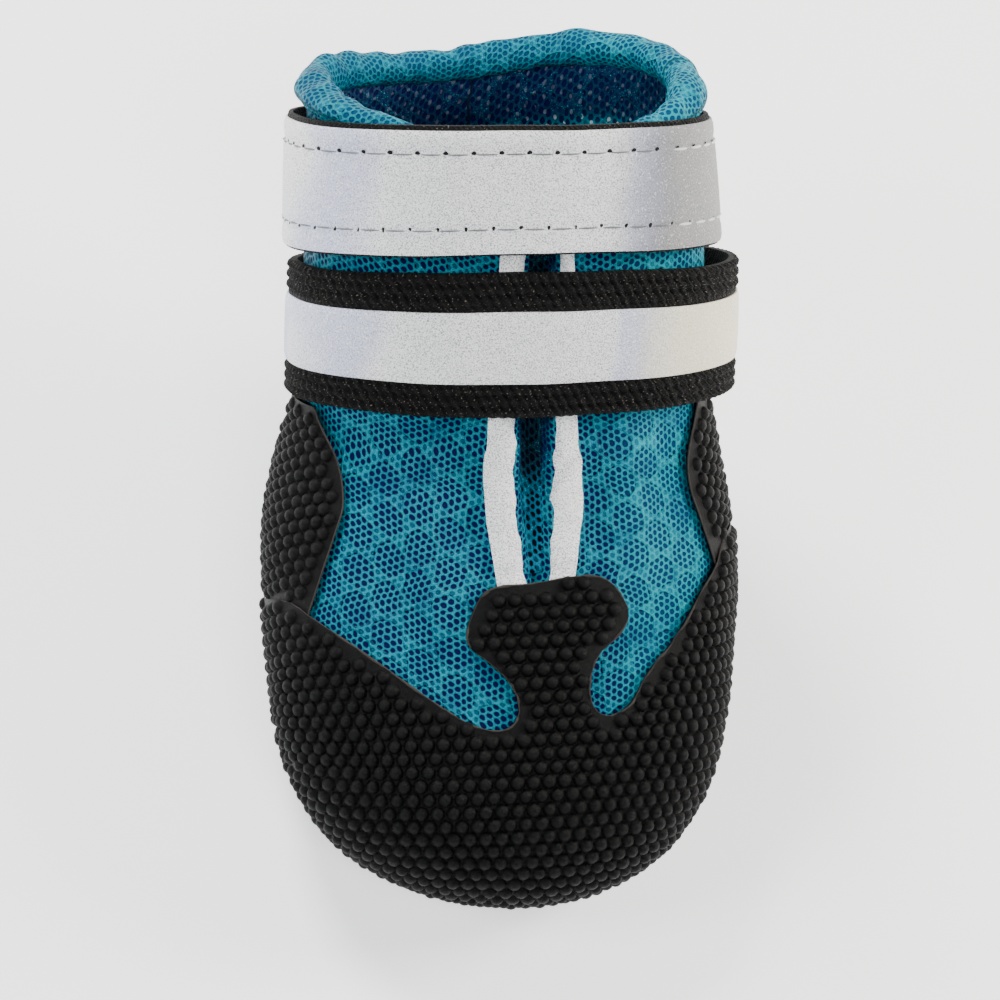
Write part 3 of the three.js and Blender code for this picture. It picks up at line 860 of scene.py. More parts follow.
def length_property(name, description, default, low, high):
    """A length in metres, from sizes in millimetres."""
    return bpy.props.FloatProperty(
        name=name, description=description, unit="LENGTH", precision=5,
        default=default * MM, min=low * MM, max=high * MM,
    )


def colour_property(name, description, default):
    return bpy.props.FloatVectorProperty(
        name=name, description=description, subtype="COLOR", size=4, default=default, min=0, max=1,
    )


def in_millimetres(length):
    """A length setting in millimetres, to four places."""
    return float(np.float32(round(length / MM, 4)))


class DOGBOOT_PG_sizes(bpy.types.PropertyGroup):
    nub_pitch: length_property("Nub pitch", "Distance between nubs of the toe cap", 2.36, 1.5, 5)
    nub_height: length_property("Nub height", "How far a nub stands proud", 0.85, 0.2, 2)
    ridge_pitch: length_property("Ridge pitch", "Distance between chevron ridges of the sole", 3.5, 2, 8)
    stitch_pitch: length_property("Stitch pitch", "Distance between stitches of the upper strap", 4.0, 1.5, 8)
    hair_count: bpy.props.IntProperty(
        name="Loop hairs", description="Hairs on the hook and loop patches", default=2600, min=0, max=8000,
    )


class DOGBOOT_PG_colours(bpy.types.PropertyGroup):
    mesh: colour_property("Mesh", "Colour of the air mesh", rgb(0, 86, 114))
    mesh_light: colour_property("Mesh ridges", "Colour of the mesh's raised threads", rgb(0, 164, 178))
    mesh_hole: colour_property("Mesh holes", "Colour seen in the mesh's holes", rgb(0, 14, 66))
    floor: colour_property("Floor", "Colour of the studio floor", (0.95, 0.95, 0.95, 1))


def settings():
    """The sizes and the colours."""
    return bpy.context.scene.dog_boot_sizes, bpy.context.scene.dog_boot_colours


def mesh_colours(shade=1.0):
    """Colours of the mesh's yarn, raised threads, shaded patches and holes, made lighter or darker."""
    colours = settings()[1]
    dark = [c * 0.6 for c in colours.mesh[:3]]
    dark[2] = colours.mesh[2] * 0.85
    tones = {"yarn": colours.mesh, "light": colours.mesh_light, "shade": dark, "hole": colours.mesh_hole}
    return {name: tuple(c * shade for c in tone[:3]) + (1.0,) for name, tone in tones.items()}


def upper_surface(rings, spokes, offset, pleat=True):
    """The upper's skin with its folds, as a grid with its rows and angles."""
    row, angle = sock_rows(rings, spokes)
    points = skin_point(row, angle, np.full(row.shape, offset))
    normals = last_normal(row, angle)
    depth = fold_depth(points, normals)
    if pleat:
        depth = depth + trough_depth(points, normals)
    return points - normals * depth[..., None], row, angle


def cloth_places(points, angle):
    """Across and along the cloth in millimetres, from the front line and from the collar."""
    around = np.linalg.norm(np.diff(points, axis=1, append=points[:, :1]), axis=-1)
    length = np.cumsum(around, 1) - around
    front = int(round(points.shape[1] / 4))
    across = length - length[:, front:front + 1]
    half = length[:, -1:] / 2
    across = np.where(across > half, across - 2 * half, across)
    down = np.linalg.norm(np.diff(points[::-1], axis=0, prepend=points[-1:]), axis=-1)
    along = np.cumsum(down, 0)[::-1]
    along = 0.5 * along + 0.5 * along[:, front:front + 1]
    return np.stack([across, along, 0 * along], -1)


@functools.cache
def front_face():
    """The upper's skin with folds but no pleat, to lay trims on."""
    return tree_of(upper_surface(150, 220, 0.0, False)[0])


UPPER_GRID = (174, 272)  # rings and spokes of the sock
# The lining's finish starts 27 rings up the inside from the toe, and takes in both edges of the sock.
LINING_START = 54432


# ---------------------------------------------------------------- pieces


class DOGBOOT_OT_upper(bpy.types.Operator):
    """Builds the mesh sock with its lining, and the pleat in front, darkened with painted shade."""

    bl_idname = "dogboot.upper"
    bl_label = "Upper and Gusset"

    def execute(self, context):
        outer, row, angle = upper_surface(*UPPER_GRID, 0.0)
        inner = upper_surface(*UPPER_GRID, -WALL)[0]
        inner[0] = outer[0] + np.array([0, WALL, 0])
        points, faces = slab(outer, inner, True)
        lining = np.zeros(len(faces), int)
        lining[LINING_START:] = 1
        finishes = [
            mesh_finish("air_mesh", mesh_colours()),
            mesh_finish("mesh_lining", mesh_colours(0.95), 5.2, 1.0, 0.3, 1.0),
        ]
        piece = new_piece("mesh_upper", points, faces, finishes, lining)
        places = cloth_places(outer, angle)
        face, out = skin_point(row, angle, np.zeros(row.shape)), last_normal(row, angle)
        pleat = trough_depth(face, out)
        # Painted shade: the third measure darkens the deep part of the pleat's trough, above 64 to 70 mm up, towards
        # the hole colour.
        places[..., 2] = between(pleat, 0.15, 0.8) * between(seen_up(face, FRONT_VIEW), 64, 70)
        within = places.copy()
        within[..., 2] = 1 - between(places[..., 1], 5.2, 7.4)
        give_cloth(piece, np.concatenate([places.reshape(-1, 3), within.reshape(-1, 3)]))
        settle(piece, "mesh", "upper")

        up = np.linspace(53, 103, 90)[:, None]
        share = np.linspace(-1, 1, 21)[None, :]
        left, right = pleat_sides(up)
        x = (left + right) / 2 + share * (right - left) * 0.52
        face, out = cast(front_face(), x, up + 0 * x, FRONT_VIEW)
        deep = np.interp(up, (47, 52, 62, 76, 106), (0.2, 0.9, 1.7, 2.8, 2.5))
        folds = 0.35 * np.cos(share * 2.2 * math.pi) * between(up, 60, 74) - 0.5 * np.abs(share) ** 3
        outer = face - out * (deep + folds)[..., None]
        points, faces = slab(outer, outer - out * 0.5)
        # The pleat's colours are a darker copy of the mesh's, with much darker holes: painted shade of the recessed
        # pleat.
        colours = {
            "yarn": rgb(0, 84, 112),
            "light": rgb(0, 150, 180),
            "shade": rgb(0, 40, 74),
            "hole": rgb(1, 7, 28),
        }
        piece = new_piece("pleat", points, faces, [mesh_finish("pleat_mesh", colours, 5.0, 1.15, 0.4)])
        # Painted shade: the third measure darkens the pleat above 64 to 70 mm up to the hole colour.
        places = np.stack([x * 1.4, up + 0 * x, between(up, 64, 70) + 0 * x], -1).reshape(-1, 3)
        give_cloth(piece, np.concatenate([places, places]))
        settle(piece, "gusset", "gusset")
        return {"FINISHED"}


class DOGBOOT_OT_collar(bpy.types.Operator):
    """Builds the padded roll along the collar."""

    bl_idname = "dogboot.collar"
    bl_label = "Collar Roll"

    def execute(self, context):
        spokes, sides = 360, 32
        angle = np.linspace(0, TURN, spokes, endpoint=False)
        row = collar_row(angle)
        depth = np.full(spokes, -WALL / 2)
        edge = skin_point(row, angle, depth)
        out = last_normal(row, angle)
        up = unit(skin_point(row + 0.2, angle, depth) - skin_point(row - 0.2, angle, depth))
        chance = np.random.default_rng(5)
        rumple = np.zeros(spokes)
        for waves in (4, 7, 11, 17, 23, 29):
            rumple += 0.1 * np.cos(waves * angle + chance.uniform(0, TURN)) * (1 - waves / 60)
        behind = between(-np.sin(angle), -0.3, 0.8)
        aside = np.abs(np.cos(angle)) ** 2
        radius = 2.2 + 0.3 * behind + 0.35 * aside + rumple
        middle = edge + up * (1.9 + 0.5 * behind + rumple * 0.5)[:, None] - out * (0.25 * (1 - behind))[:, None]
        around = np.linspace(0, TURN, sides, endpoint=False)
        pinch = 1 + 0.05 * np.cos(3 * around[None, :] + 4 * angle[:, None])
        pinch = pinch + 0.03 * np.cos(angle[:, None] * 31 + around[None, :])
        outward = np.cos(around)[None, :, None] * out[:, None] * 1.05
        upward = np.sin(around)[None, :, None] * up[:, None]
        grid = middle[:, None] + (outward + upward) * (radius[:, None] * pinch)[..., None]
        faces = grid_faces(spokes + 1, sides, True) % (spokes * sides)
        finish = mesh_finish("collar_mesh", {**mesh_colours(), "hole": rgb(0, 66, 98)}, 4.4, 0.88, 0.6)
        piece = new_piece("collar_padding", grid.reshape(-1, 3), faces, [finish])
        length = np.cumsum(np.linalg.norm(np.diff(middle, axis=0, prepend=middle[-1:]), axis=1))
        across = np.repeat(length[:, None], sides, 1)
        along = around[None, :] * radius[:, None]
        give_cloth(piece, np.stack([across, along, 0 * along], -1).reshape(-1, 3))
        settle(piece, "collar", "collar_roll")
        return {"FINISHED"}


NUB_PROFILE = ((1.22, -0.1), (1.12, 0.08), (1.0, 0.34), (0.84, 0.6), (0.62, 0.82), (0.34, 0.95))
NUB_SIDES = 9


def nub_mesh(spots, height, seed):
    """Small domes at spots on a surface, each with a slightly different size."""
    chance = random.Random(seed)
    profile, sides = NUB_PROFILE, NUB_SIDES
    around = np.linspace(0, TURN, sides, endpoint=False)
    ring = np.stack([np.cos(around), np.sin(around)], -1)
    parts = []
    faces = grid_faces(len(profile), sides, True).tolist()
    top = len(profile) * sides
    faces += [[top - sides + j, top - sides + (j + 1) % sides, top] for j in range(sides)]
    for place, normal in spots:
        out = Vector(normal)
        side = out.orthogonal().normalized()
        other = out.cross(side)
        size = chance.uniform(0.93, 1.05)
        tall = height * chance.uniform(0.86, 1.08)
        flat = np.array([side[:], other[:]])
        base = np.array(place[:])
        points = [base + (ring * wide * size) @ flat + np.array(out[:]) * tall * high for wide, high in profile]
        points.append((base + np.array(out[:]) * tall * 1.03)[None])
        parts.append((np.concatenate(points), faces))
    return joined(parts)


@functools.cache
def sole_outline(extra):
    """Closed outline of the rubber in the sole's view, grown by a margin."""
    half = smooth_line(SOLE_WIDTHS, 3)
    right = np.stack([half[:, 1] + extra, half[:, 0]], -1)
    right[0] = (0, half[0, 0] - extra)
    outline = np.vstack([right, right[1:][::-1] * [-1, 1]])
    outline[:, 0] += sole_sway(outline[:, 1])
    return outline


CAP_THICK = 1.45
WING_THICK = 1.15
OVERLAY_UNDERSIDE = 0.25
OVERLAY_GRID = (84, 160)  # rings and spokes
OVERLAY_TOP_ROW = 11.0
CAP_SOLE_DEPTH = 1.5  # how deep in the sole's view the rubber's outline trims the cap
WING_SOLE_DEPTH = 6
RIM_SUNK = 0.12  # how far a cut edge's cord lies under the cloth's face


def within(outline, x, up):
    return bool(inside_outline(np.array(x), np.array(up), outline))


def under_rubber(point, depth):
    """Whether a point is inside the rubber's outline, seen from below, and near enough to it."""
    near = point[1] * math.cos(SOLE_VIEW) > point[2] * math.sin(SOLE_VIEW) - depth
    return near and within(sole_outline(1.1), point[0], seen_up(np.array(point), SOLE_VIEW))


def overlay_cloth(name, thick, black, cuts):
    """Cloth of an overlay: a layer round the last, trimmed by prisms."""
    body = last_solid(thick, *OVERLAY_GRID, OVERLAY_TOP_ROW)
    cut(body, last_solid(OVERLAY_UNDERSIDE, *OVERLAY_GRID, OVERLAY_TOP_ROW + 0.3), "DIFFERENCE")
    for tool, operation in cuts:
        cut(body, tool, operation)
    points = points_of(body.data)
    faces = [tuple(face.vertices) for face in body.data.polygons]
    bpy.data.objects.remove(body)
    return new_piece(name, points, faces, [black], sharp=40)


class DOGBOOT_OT_overlays(bpy.types.Operator):
    """Builds the nubby toe cap and the two wings, with their nubs and cut edges."""

    bl_idname = "dogboot.overlays"
    bl_label = "Toe Cap and Wings"

    def execute(self, context):
        sizes = settings()[0]
        pitch, tall = in_millimetres(sizes.nub_pitch), in_millimetres(sizes.nub_height)
        black = nubby_finish("nubby_cloth")
        edge_finish = plain_cloth_finish("cut_edge", rgb(6, 6, 6), rgb(74, 68, 64), 0.6)
        row, angle = sock_rows(120, 200, 11.5)
        cap_tree = tree_of(skin_point(row, angle, np.full(row.shape, CAP_THICK)))
        wing_tree = tree_of(skin_point(row, angle, np.full(row.shape, WING_THICK)))
        sole = sole_outline(0.4)

        def cap_room(point):
            up = seen_up(np.array(point), FRONT_VIEW)
            return (
                not under_rubber(point, CAP_SOLE_DEPTH)
                and within(CAP_OUTLINE, point[0], up)
                and within(FLANK_OUTLINE, point[1], point[2])
            )

        def nubs(name, spots, clear, tall, seed):
            points, faces = nub_mesh([spot for spot, keep in zip(spots, clear) if keep], tall, seed)
            settle(new_piece(name, points, faces, [black]), "nubby")

        cloth = overlay_cloth("cap_cloth", CAP_THICK, black, [
            (view_prism(CAP_OUTLINE, FRONT_VIEW), "INTERSECT"),
            (side_prism(FLANK_OUTLINE), "INTERSECT"),
            (view_prism(sole, SOLE_VIEW, far=CAP_SOLE_DEPTH), "DIFFERENCE"),
        ])
        settle(cloth, "nubby", "toe_cap")
        spots = lattice(cap_tree, (CENTRE, 12, 30), (1, 0, 0), pitch, cap_room)
        place = np.array([spot[0][:] for spot in spots])
        clear = distance_to_line(place[:, 0], seen_up(place, FRONT_VIEW), CAP_EDGE) > 0.82
        nubs("cap_nubs", spots, clear, tall, 3)

        edge = CAP_EDGE[(CAP_EDGE[:, 0] > -36) & (CAP_EDGE[:, 0] < 35.2)]
        rim, out = cast(cap_tree, edge[:, 0], edge[:, 1], FRONT_VIEW)
        chance = np.random.default_rng(8)
        rough = np.clip(0.15 + 0.05 * chance.standard_normal(len(rim)), 0.08, 0.26)
        jag = (0.12 * chance.standard_normal(len(rim)))[:, None]
        cord = sweep(rim - out * (RIM_SUNK + jag), rough, 7, up=out)
        settle(new_piece("cap_cut_edge", *cord, [edge_finish]), "nubby")

        for side, name in ((-1, "left"), (1, "right")):
            edge = WING_EDGE * [side, 1]
            wing = np.vstack([WING_EDGE, [(60, 84), (60, 46)]]) * [side, 1]
            cloth = overlay_cloth(f"wing_cloth_{name}", WING_THICK, black, [
                (view_prism(wing, FRONT_VIEW), "INTERSECT"),
                (side_prism(FLANK_OUTLINE), "INTERSECT"),
                (view_prism(CAP_OUTLINE + [0, -2.5], FRONT_VIEW), "DIFFERENCE"),
                (view_prism(sole, SOLE_VIEW, far=WING_SOLE_DEPTH), "DIFFERENCE"),
            ])
            settle(cloth, "nubby", f"wing_{name}")

            def wing_room(point, wing=wing):
                up = seen_up(np.array(point), FRONT_VIEW)
                return (
                    not under_rubber(point, WING_SOLE_DEPTH)
                    and within(wing, point[0], up)
                    and within(FLANK_OUTLINE, point[1], point[2])
                    and not within(CAP_OUTLINE, point[0], up)
                )

            spots = lattice(wing_tree, (side * 33, 55, 22), (0, 0.7, 0.7), pitch, wing_room)
            spots = [spot for spot in spots if wing_room(spot[0])]
            place = np.array([spot[0][:] for spot in spots])
            up = seen_up(place, FRONT_VIEW)
            clear = distance_to_line(place[:, 0], up, edge) > 0.8
            clear &= distance_to_line(place[:, 0], up, CAP_EDGE) > 0.7
            clear &= distance_to_line(place[:, 1], place[:, 2], WING_BACK) > 0.9
            nubs(f"wing_nubs_{name}", spots, clear, tall * 0.95, 5)
            rim, out = cast(wing_tree, edge[:-4, 0], edge[:-4, 1], FRONT_VIEW)
            cord = sweep(rim - out * RIM_SUNK, 0.15, 7, up=out)
            settle(new_piece(f"wing_cut_edge_{name}", *cord, [edge_finish]), "nubby")
        return {"FINISHED"}


class DOGBOOT_OT_stripes(bpy.types.Operator):
    """Builds the two reflective stripes beside the pleat."""

    bl_idname = "dogboot.stripes"
    bl_label = "Reflective Stripes"

    def execute(self, context):
        tape = tape_finish("stripe_tape")
        for name, stripe in (("left", STRIPE_LEFT), ("right", STRIPE_RIGHT)):
            up = np.linspace(50.9, 103, 150)[:, None]
            share = np.linspace(0, 1, 15)[None, :]
            table = np.array([stripe["up"], stripe["inner"], stripe["outer"]]).T
            line = smooth_line(table, 8)
            inner = np.interp(up, line[:, 0], line[:, 1])
            outer = np.interp(up, line[:, 0], line[:, 2])
            x = inner + (outer - inner) * share
            face, out = cast(front_face(), x, up + 0 * x, FRONT_VIEW)
            ripple = 0.09 * np.sin(up * 0.9 + share * 3)
            crown = 0.16 * np.sin(share * math.pi) + ripple + 0.05 * np.sin(up * 2.1)
            dip = -0.9 * (1 - share) ** 6
            crease = 0.0
            if name == "right":
                slant = up - 66.5 - (share - 0.5) * 5.5
                crease = 0.42 * np.exp(-((slant / 1.4) ** 2)) - 0.3 * np.exp(-(((slant - 2.4) / 1.3) ** 2))
                crease = crease * (0.35 + 0.65 * share)
            top = face + out * (0.42 + crown + dip + crease)[..., None]
            points, faces = slab(top, top - out * 0.35)
            settle(new_piece(f"stripe_{name}", points, faces, [tape], sharp=50), "strap")
        return {"FINISHED"}


def footprint(widths, elevation, tree, rows, columns):
    """Grid of points over a footprint's outline on a surface seen from below, with normals, x and up."""
    share = np.linspace(0, 1, rows)
    up = widths[0, 0] + (widths[-1, 0] - widths[0, 0]) * (share + 0.12 * (share**2 - share))
    line = smooth_line(widths, 6)
    half = np.interp(up, line[:, 0], line[:, 1])
    x = half[:, None] * np.linspace(-1, 1, columns)[None, :] + sole_sway(up)[:, None]
    up = up[:, None] + 0 * x
    face, out = cast(tree, x, up, elevation, below=True)
    return face, out, x, up


CHEVRON_WIDTH = 18.6


class DOGBOOT_OT_sole(bpy.types.Operator):
    """Builds the rubber sole with its chevron ridges, and the insole."""

    bl_idname = "dogboot.sole"
    bl_label = "Sole and Insole"

    def execute(self, context):
        row, angle = sock_rows(150, 240)
        ground = skin_point(row, angle, np.full(row.shape, 2.1))
        face, out, x, up = footprint(SOLE_WIDTHS, SOLE_VIEW, tree_of(ground), 262, 180)
        zigzag = 4.9 * (2 * np.abs((x / CHEVRON_WIDTH) % 1 - 0.5) - 0.5)
        phase = ((up - zigzag) / in_millimetres(settings()[0].ridge_pitch)) % 1
        ridge = between(0.5 - np.abs(phase - 0.5), 0.17, 0.27)
        line = smooth_line(SOLE_WIDTHS, 6)
        edge = np.stack([line[:, 1], line[:, 0]], -1)
        to_edge = distance_to_line(np.abs(x - sole_sway(up)), up, edge)
        ridge = ridge * between(to_edge, 1.6, 2.3) * (1 - between(up, 83, 84.5)) * between(up, 5.5, 7)
        pad = np.hypot(x / 7.25, (up - 58.5) / 4.75)
        clear = between(pad, 1.12, 1.26)
        plate = (1 - between(pad, 0.96, 1.02)) * (0.86 + 0.14 * between(pad, 0.8, 0.86))
        rim = (1 - between(np.abs(to_edge - 0.9), 0.35, 0.6)) * 0.2
        height = np.maximum(ridge * clear, plate) + rim * (to_edge < 1.6)
        height = np.minimum(height, 1.0)
        lip = 1.1 * (1 - between(to_edge, 0, 0.55)) ** 2
        bottom = face + out * (height - lip)[..., None]
        bottom[..., 2] = np.maximum(bottom[..., 2], 0.0)
        inside = face - out * 1.78
        points, faces = slab(bottom, inside)
        piece = new_piece("rubber_sole", points, faces, [rubber_finish("sole_rubber")], sharp=60)
        places = np.stack([x, up, height], -1).reshape(-1, 3)
        give_cloth(piece, np.concatenate([places, places]))
        settle(piece, "rubber", "outsole")

        inner = skin_point(row, angle, np.full(row.shape, -1.5))
        face, out, x, up = footprint(INSOLE_WIDTHS, TOP_VIEW, tree_of(inner), 60, 40)
        quilt = 0.12 * np.cos(x * 1.1) * np.cos(up * 1.1)
        top = face - out * quilt[..., None]
        points, faces = slab(top, top + out * 1.3)
        finish = plain_cloth_finish("insole_felt", rgb(20, 34, 48), rgb(44, 66, 84), 0.5)
        settle(new_piece("footbed", points, faces, [finish]), "insole", "insole")
        return {"FINISHED"}


# Rows of the edges, angles of the ends in degrees, and gaps to the last in millimetres.
STRAPS = {
    "lower": {
        "bottom": ANKLE, "top": STRAP_GAP - 0.32, "bottom_rise": 0.13, "joint": 217, "free_end": -71,
        "front": 0.8, "left": 0.8, "right": 4.0, "back": 2.7,
    },
    "upper": {
        "bottom": STRAP_GAP - 0.08, "top": UPPER_STRAP + 0.1, "bottom_rise": -0.04, "joint": 228, "free_end": -71,
        "front": 1.9, "left": 2.1, "right": 1.3, "back": 2.0,
    },
}
PATCH_UNDER = 26  # degrees that a patch runs on under the free end
PATCH_THICK = 1.3
SEAM = 5.9  # distance of the upper strap's stitch lines from its middle
UPPER_STRAP_WIDTH = 20.4


def strap_stand(strap, angle, patch=False):
    """Gap between the last and a strap's inner face."""
    ahead = np.maximum(np.sin(angle), 0) ** 1.5
    behind = np.maximum(-np.sin(angle), 0) ** 1.5
    side = strap["left"] + (strap["right"] - strap["left"]) * (1 + np.cos(angle)) / 2
    gap = strap["front"] * ahead + strap["back"] * behind + side * (1 - ahead - behind)
    if patch:
        return gap
    end = math.radians(strap["free_end"] + PATCH_UNDER + 10)
    return gap + (PATCH_THICK + 0.3) * between(-angle, -end - math.radians(14), -end)


def strap_point(strap, angle, share, height, patch=False):
    """Points of a strap: share across its width, height above its inner face."""
    angle, share, height = np.broadcast_arrays(angle, share, height)
    sway = 0.2 * np.sin(angle * 5 + 1) * (share - 0.3) + 0.14 * np.sin(angle * 9 + share * 2)
    lift = strap_stand(strap, angle, patch) + height + sway * (0 if patch else 1)
    bottom = strap["bottom"] + strap["bottom_rise"] * np.cos(angle) ** 2
    low = skin_point(bottom, angle, lift)
    high = skin_point(np.full(angle.shape, float(strap["top"])), angle, lift)
    return low + (high - low) * share[..., None]


FRONT_ANGLE = np.array(1.57)


def strap_grid(strap, start, end, low, high, base, thick, columns, rows, bulge=0.0, relief=None, patch=False):
    """Outer and inner grids of a band, with its cloth places in millimetres."""
    angle = np.radians(np.linspace(start, end, columns))[:, None]
    share = np.linspace(low, high, rows)[None, :]
    even = (share - low) / (high - low)
    rows_in = np.minimum(even, 1 - even) * rows
    rounding = -0.22 * np.exp(-((rows_in / 1.1) ** 2))
    middle = strap_point(strap, angle, 0.5 + 0 * share, 0.0)[:, rows // 2]
    length = run_length(middle)[:, None] + 0 * share
    top, bottom = (strap_point(strap, FRONT_ANGLE, np.array(edge), np.array(0.0)) for edge in (1.0, 0.0))
    width = np.linalg.norm(top - bottom)
    across = (share - 0.5) * width + 0 * angle
    height = thick + rounding + bulge * np.sin(even * math.pi) + 0 * angle
    if relief is not None:
        height = height + relief(length, across)
    outer = strap_point(strap, angle, share, base + height, patch)
    inner = strap_point(strap, angle, share, base + 0 * share, patch)
    return outer, inner, np.stack([length, across, 0 * across], -1)


def strap_piece(name, finish, slot, nodes, *args, **kwargs):
    """Builds a band of a strap as a piece of its own."""
    outer, inner, places = strap_grid(*args, **kwargs)
    points, faces = slab(outer, inner)
    piece = new_piece(name, points, faces, [finish], sharp=55)
    give_cloth(piece, np.concatenate([places.reshape(-1, 3)] * 2))
    return settle(piece, slot, *nodes)


def strap_line(strap, degrees, share, height):
    """A line on a strap, with its outward directions."""
    angle, share = np.broadcast_arrays(np.radians(np.asarray(degrees, float)), np.asarray(share, float))
    line = strap_point(strap, angle, share, np.full(angle.shape, height))
    above = strap_point(strap, angle, share, np.full(angle.shape, height + 0.5))
    return line, unit(above - line)


def woven(length, across):
    """Ribs of the webbing: three cords along each border, with a twisted surface."""
    border = between(np.abs(across - 0.1), 5.6, 6.6)
    ribs = 0.24 * np.cos(across * TURN / 1.75)
    twist = 0.22 * np.cos(length * TURN / 1.45 + across * 2.4)
    return (ribs + twist) * border


def fine_grain(length, across):
    """Weave of the upper strap's backing."""
    return 0.05 * np.cos(length * 5) * np.cos(across * 5)


def pulled_seams(length, across):
    """Grooves where the stitches pull the tape in."""
    return -0.2 * np.exp(-((np.abs(np.abs(across) - SEAM) / 0.6) ** 2))


def felt_lumps(length, across):
    """Uneven pile of a patch."""
    return 0.1 * np.sin(length * 2.1) * np.sin(across * 1.7 + 1)


class DOGBOOT_OT_straps(bpy.types.Operator):
    """Builds the two straps with their tape, backing, stitches and frayed ends."""

    bl_idname = "dogboot.straps"
    bl_label = "Straps"

    def execute(self, context):
        pitch = in_millimetres(settings()[0].stitch_pitch)
        webbing = webbing_finish("webbing")
        # The lower strap's tape takes painted pale yellow light towards +X.
        lower_tape = tape_finish("lower_strap_tape", 0.7)
        # The upper strap's tape takes painted shade towards +X.
        upper_tape = tape_finish("upper_strap_tape", 0.0, 0.8)
        grey = plain_cloth_finish("grey_thread", rgb(60, 62, 66), rgb(140, 143, 148), 0.3, 0.5)
        white = plain_cloth_finish("white_thread", rgb(196, 198, 202), rgb(250, 250, 250), 0.2, 0.5)
        dark = plain_cloth_finish("needle_hole", rgb(10, 10, 12), rgb(30, 30, 34), 0.3)
        upper, lower = STRAPS["upper"], STRAPS["lower"]

        # Each band: strap, start and end in degrees, low and high share, base, thickness, columns, rows.
        joint, end = lower["joint"], lower["free_end"]
        strap_piece("lower_webbing", webbing, "webbing", ["lower_strap"],
                    lower, joint, end, 0.0, 1.0, 0.0, 1.25, 560, 52, relief=woven)
        strap_piece("lower_tape", lower_tape, "strap", [],
                    lower, joint, end + 0.6, 0.245, 0.745, 1.2, 0.5, 300, 24, bulge=0.08)
        joint, end = upper["joint"], upper["free_end"]
        strap_piece("upper_backing", webbing, "webbing", ["upper_strap"],
                    upper, joint, end, 0.0, 1.0, 0.0, 0.85, 420, 40, relief=fine_grain)
        strap_piece("upper_tape", upper_tape, "strap", [],
                    upper, joint, end + 0.5, 0.02, 0.965, 0.8, 0.5, 320, 44, bulge=0.1, relief=pulled_seams)

        runs = (("grey", joint, 42, 0.14, grey), ("white", 42, end + 2, 0.25, white))
        for level, share in (("low", 0.5 - SEAM / UPPER_STRAP_WIDTH), ("high", 0.5 + SEAM / UPPER_STRAP_WIDTH)):
            for name, start, stop, thick, finish in runs:
                line, out = strap_line(upper, np.linspace(start, stop, 260), share, 1.24)
                row = stitches(line, out, pitch, pitch * 0.86, thick, 0.18, 0.15, 3)
                settle(new_piece(f"strap_stitches_{name}_{level}", *row, [finish]), "strap")
            line, out = strap_line(upper, np.linspace(joint, end + 2, 260), share, 1.2)
            total, at = along_line(line, out)
            spots = []
            for k in range(int(total / pitch)):
                place, normal = at(np.array([k * pitch]))
                spots.append((Vector(place[0]), Vector(unit(normal)[0])))
            points, faces = nub_mesh(spots, 0.16, 9)
            centres = np.repeat(np.array([spot[0][:] for spot in spots]), len(points) // len(spots), 0)
            points = centres + (points - centres) * [0.36, 0.36, 0.6]
            settle(new_piece(f"needle_holes_{level}", points, faces, [dark]), "strap")

        for name, strap, height in (("upper", upper, 1.3), ("lower", lower, 1.6)):
            parts = []
            for degrees in (strap["joint"] - 2.5, strap["joint"] - 6):
                line, out = strap_line(strap, degrees, np.linspace(0.06, 0.94, 30), height)
                parts.append(stitches(line, out, 1.9, 1.5, 0.16, 0.15, 0.08, 6))
            settle(new_piece(f"{name}_joint_stitches", *joined(parts), [white]), "strap")

        chance = random.Random(21)
        parts = []
        for strap, count, low, high in ((upper, 26, 0.04, 0.96), (lower, 22, 0.26, 0.74)):
            for _ in range(count):
                share = chance.uniform(low, high)
                end = math.radians(strap["free_end"])
                point, before = (
                    strap_point(strap, np.array(angle), np.array(share), np.array(1.1)) for angle in (end, end + 0.05)
                )
                ahead = unit(point - before)
                side = np.array([chance.uniform(-1, 1) for _ in range(3)])
                length = chance.uniform(0.8, 2.6)
                steps = np.linspace(0, 1, 6)[:, None]
                line = point - ahead * 0.5 + ahead * length * steps + side * 0.5 * steps**2
                parts.append(sweep(line, 0.06, 5))
        settle(new_piece("frayed_threads", *joined(parts), [white]), "strap")
        return {"FINISHED"}


class DOGBOOT_OT_patches(bpy.types.Operator):
    """Builds the hook and loop patches behind, with their hairs."""

    bl_idname = "dogboot.patches"
    bl_label = "Hook and Loop Patches"

    def execute(self, context):
        felt = plain_cloth_finish("loop_felt", rgb(7, 7, 8), rgb(32, 32, 35), 0.45, 0.85)
        hair = plain_cloth_finish("loop_hair", rgb(10, 10, 11), rgb(52, 52, 56), 0.3, 0.6)
        count = settings()[0].hair_count
        chance = random.Random(12)
        for name, strap in STRAPS.items():
            start, end = strap["joint"] + 0.8, 360 + strap["free_end"] + PATCH_UNDER
            strap_piece(f"{name}_patch_felt", felt, "patch", [f"{name}_strap_patch"], strap, start, end,
                        0.03, 0.97, 0.0, 1.0, 90, 40, relief=felt_lumps, patch=True)
            parts = []
            for _ in range(count // 2):
                angle = math.radians(chance.uniform(start + 0.5, end - 0.5))
                share = chance.uniform(0.04, 0.96)
                foot, above = (
                    strap_point(strap, np.array(angle), np.array(share), np.array(height), True)
                    for height in (0.85, 1.4)
                )
                out = unit(above - foot)
                side = np.array([chance.uniform(-1, 1) for _ in range(3)])
                side = unit(side - out * (side @ out))
                t = np.linspace(0, 1, 5)[:, None]
                line = foot + side * 0.9 * t + out * 0.5 * np.sin(t * math.pi)
                parts.append(sweep(line, 0.05, 3))
            settle(new_piece(f"{name}_patch_hairs", *joined(parts), [hair]), "patch")
        return {"FINISHED"}


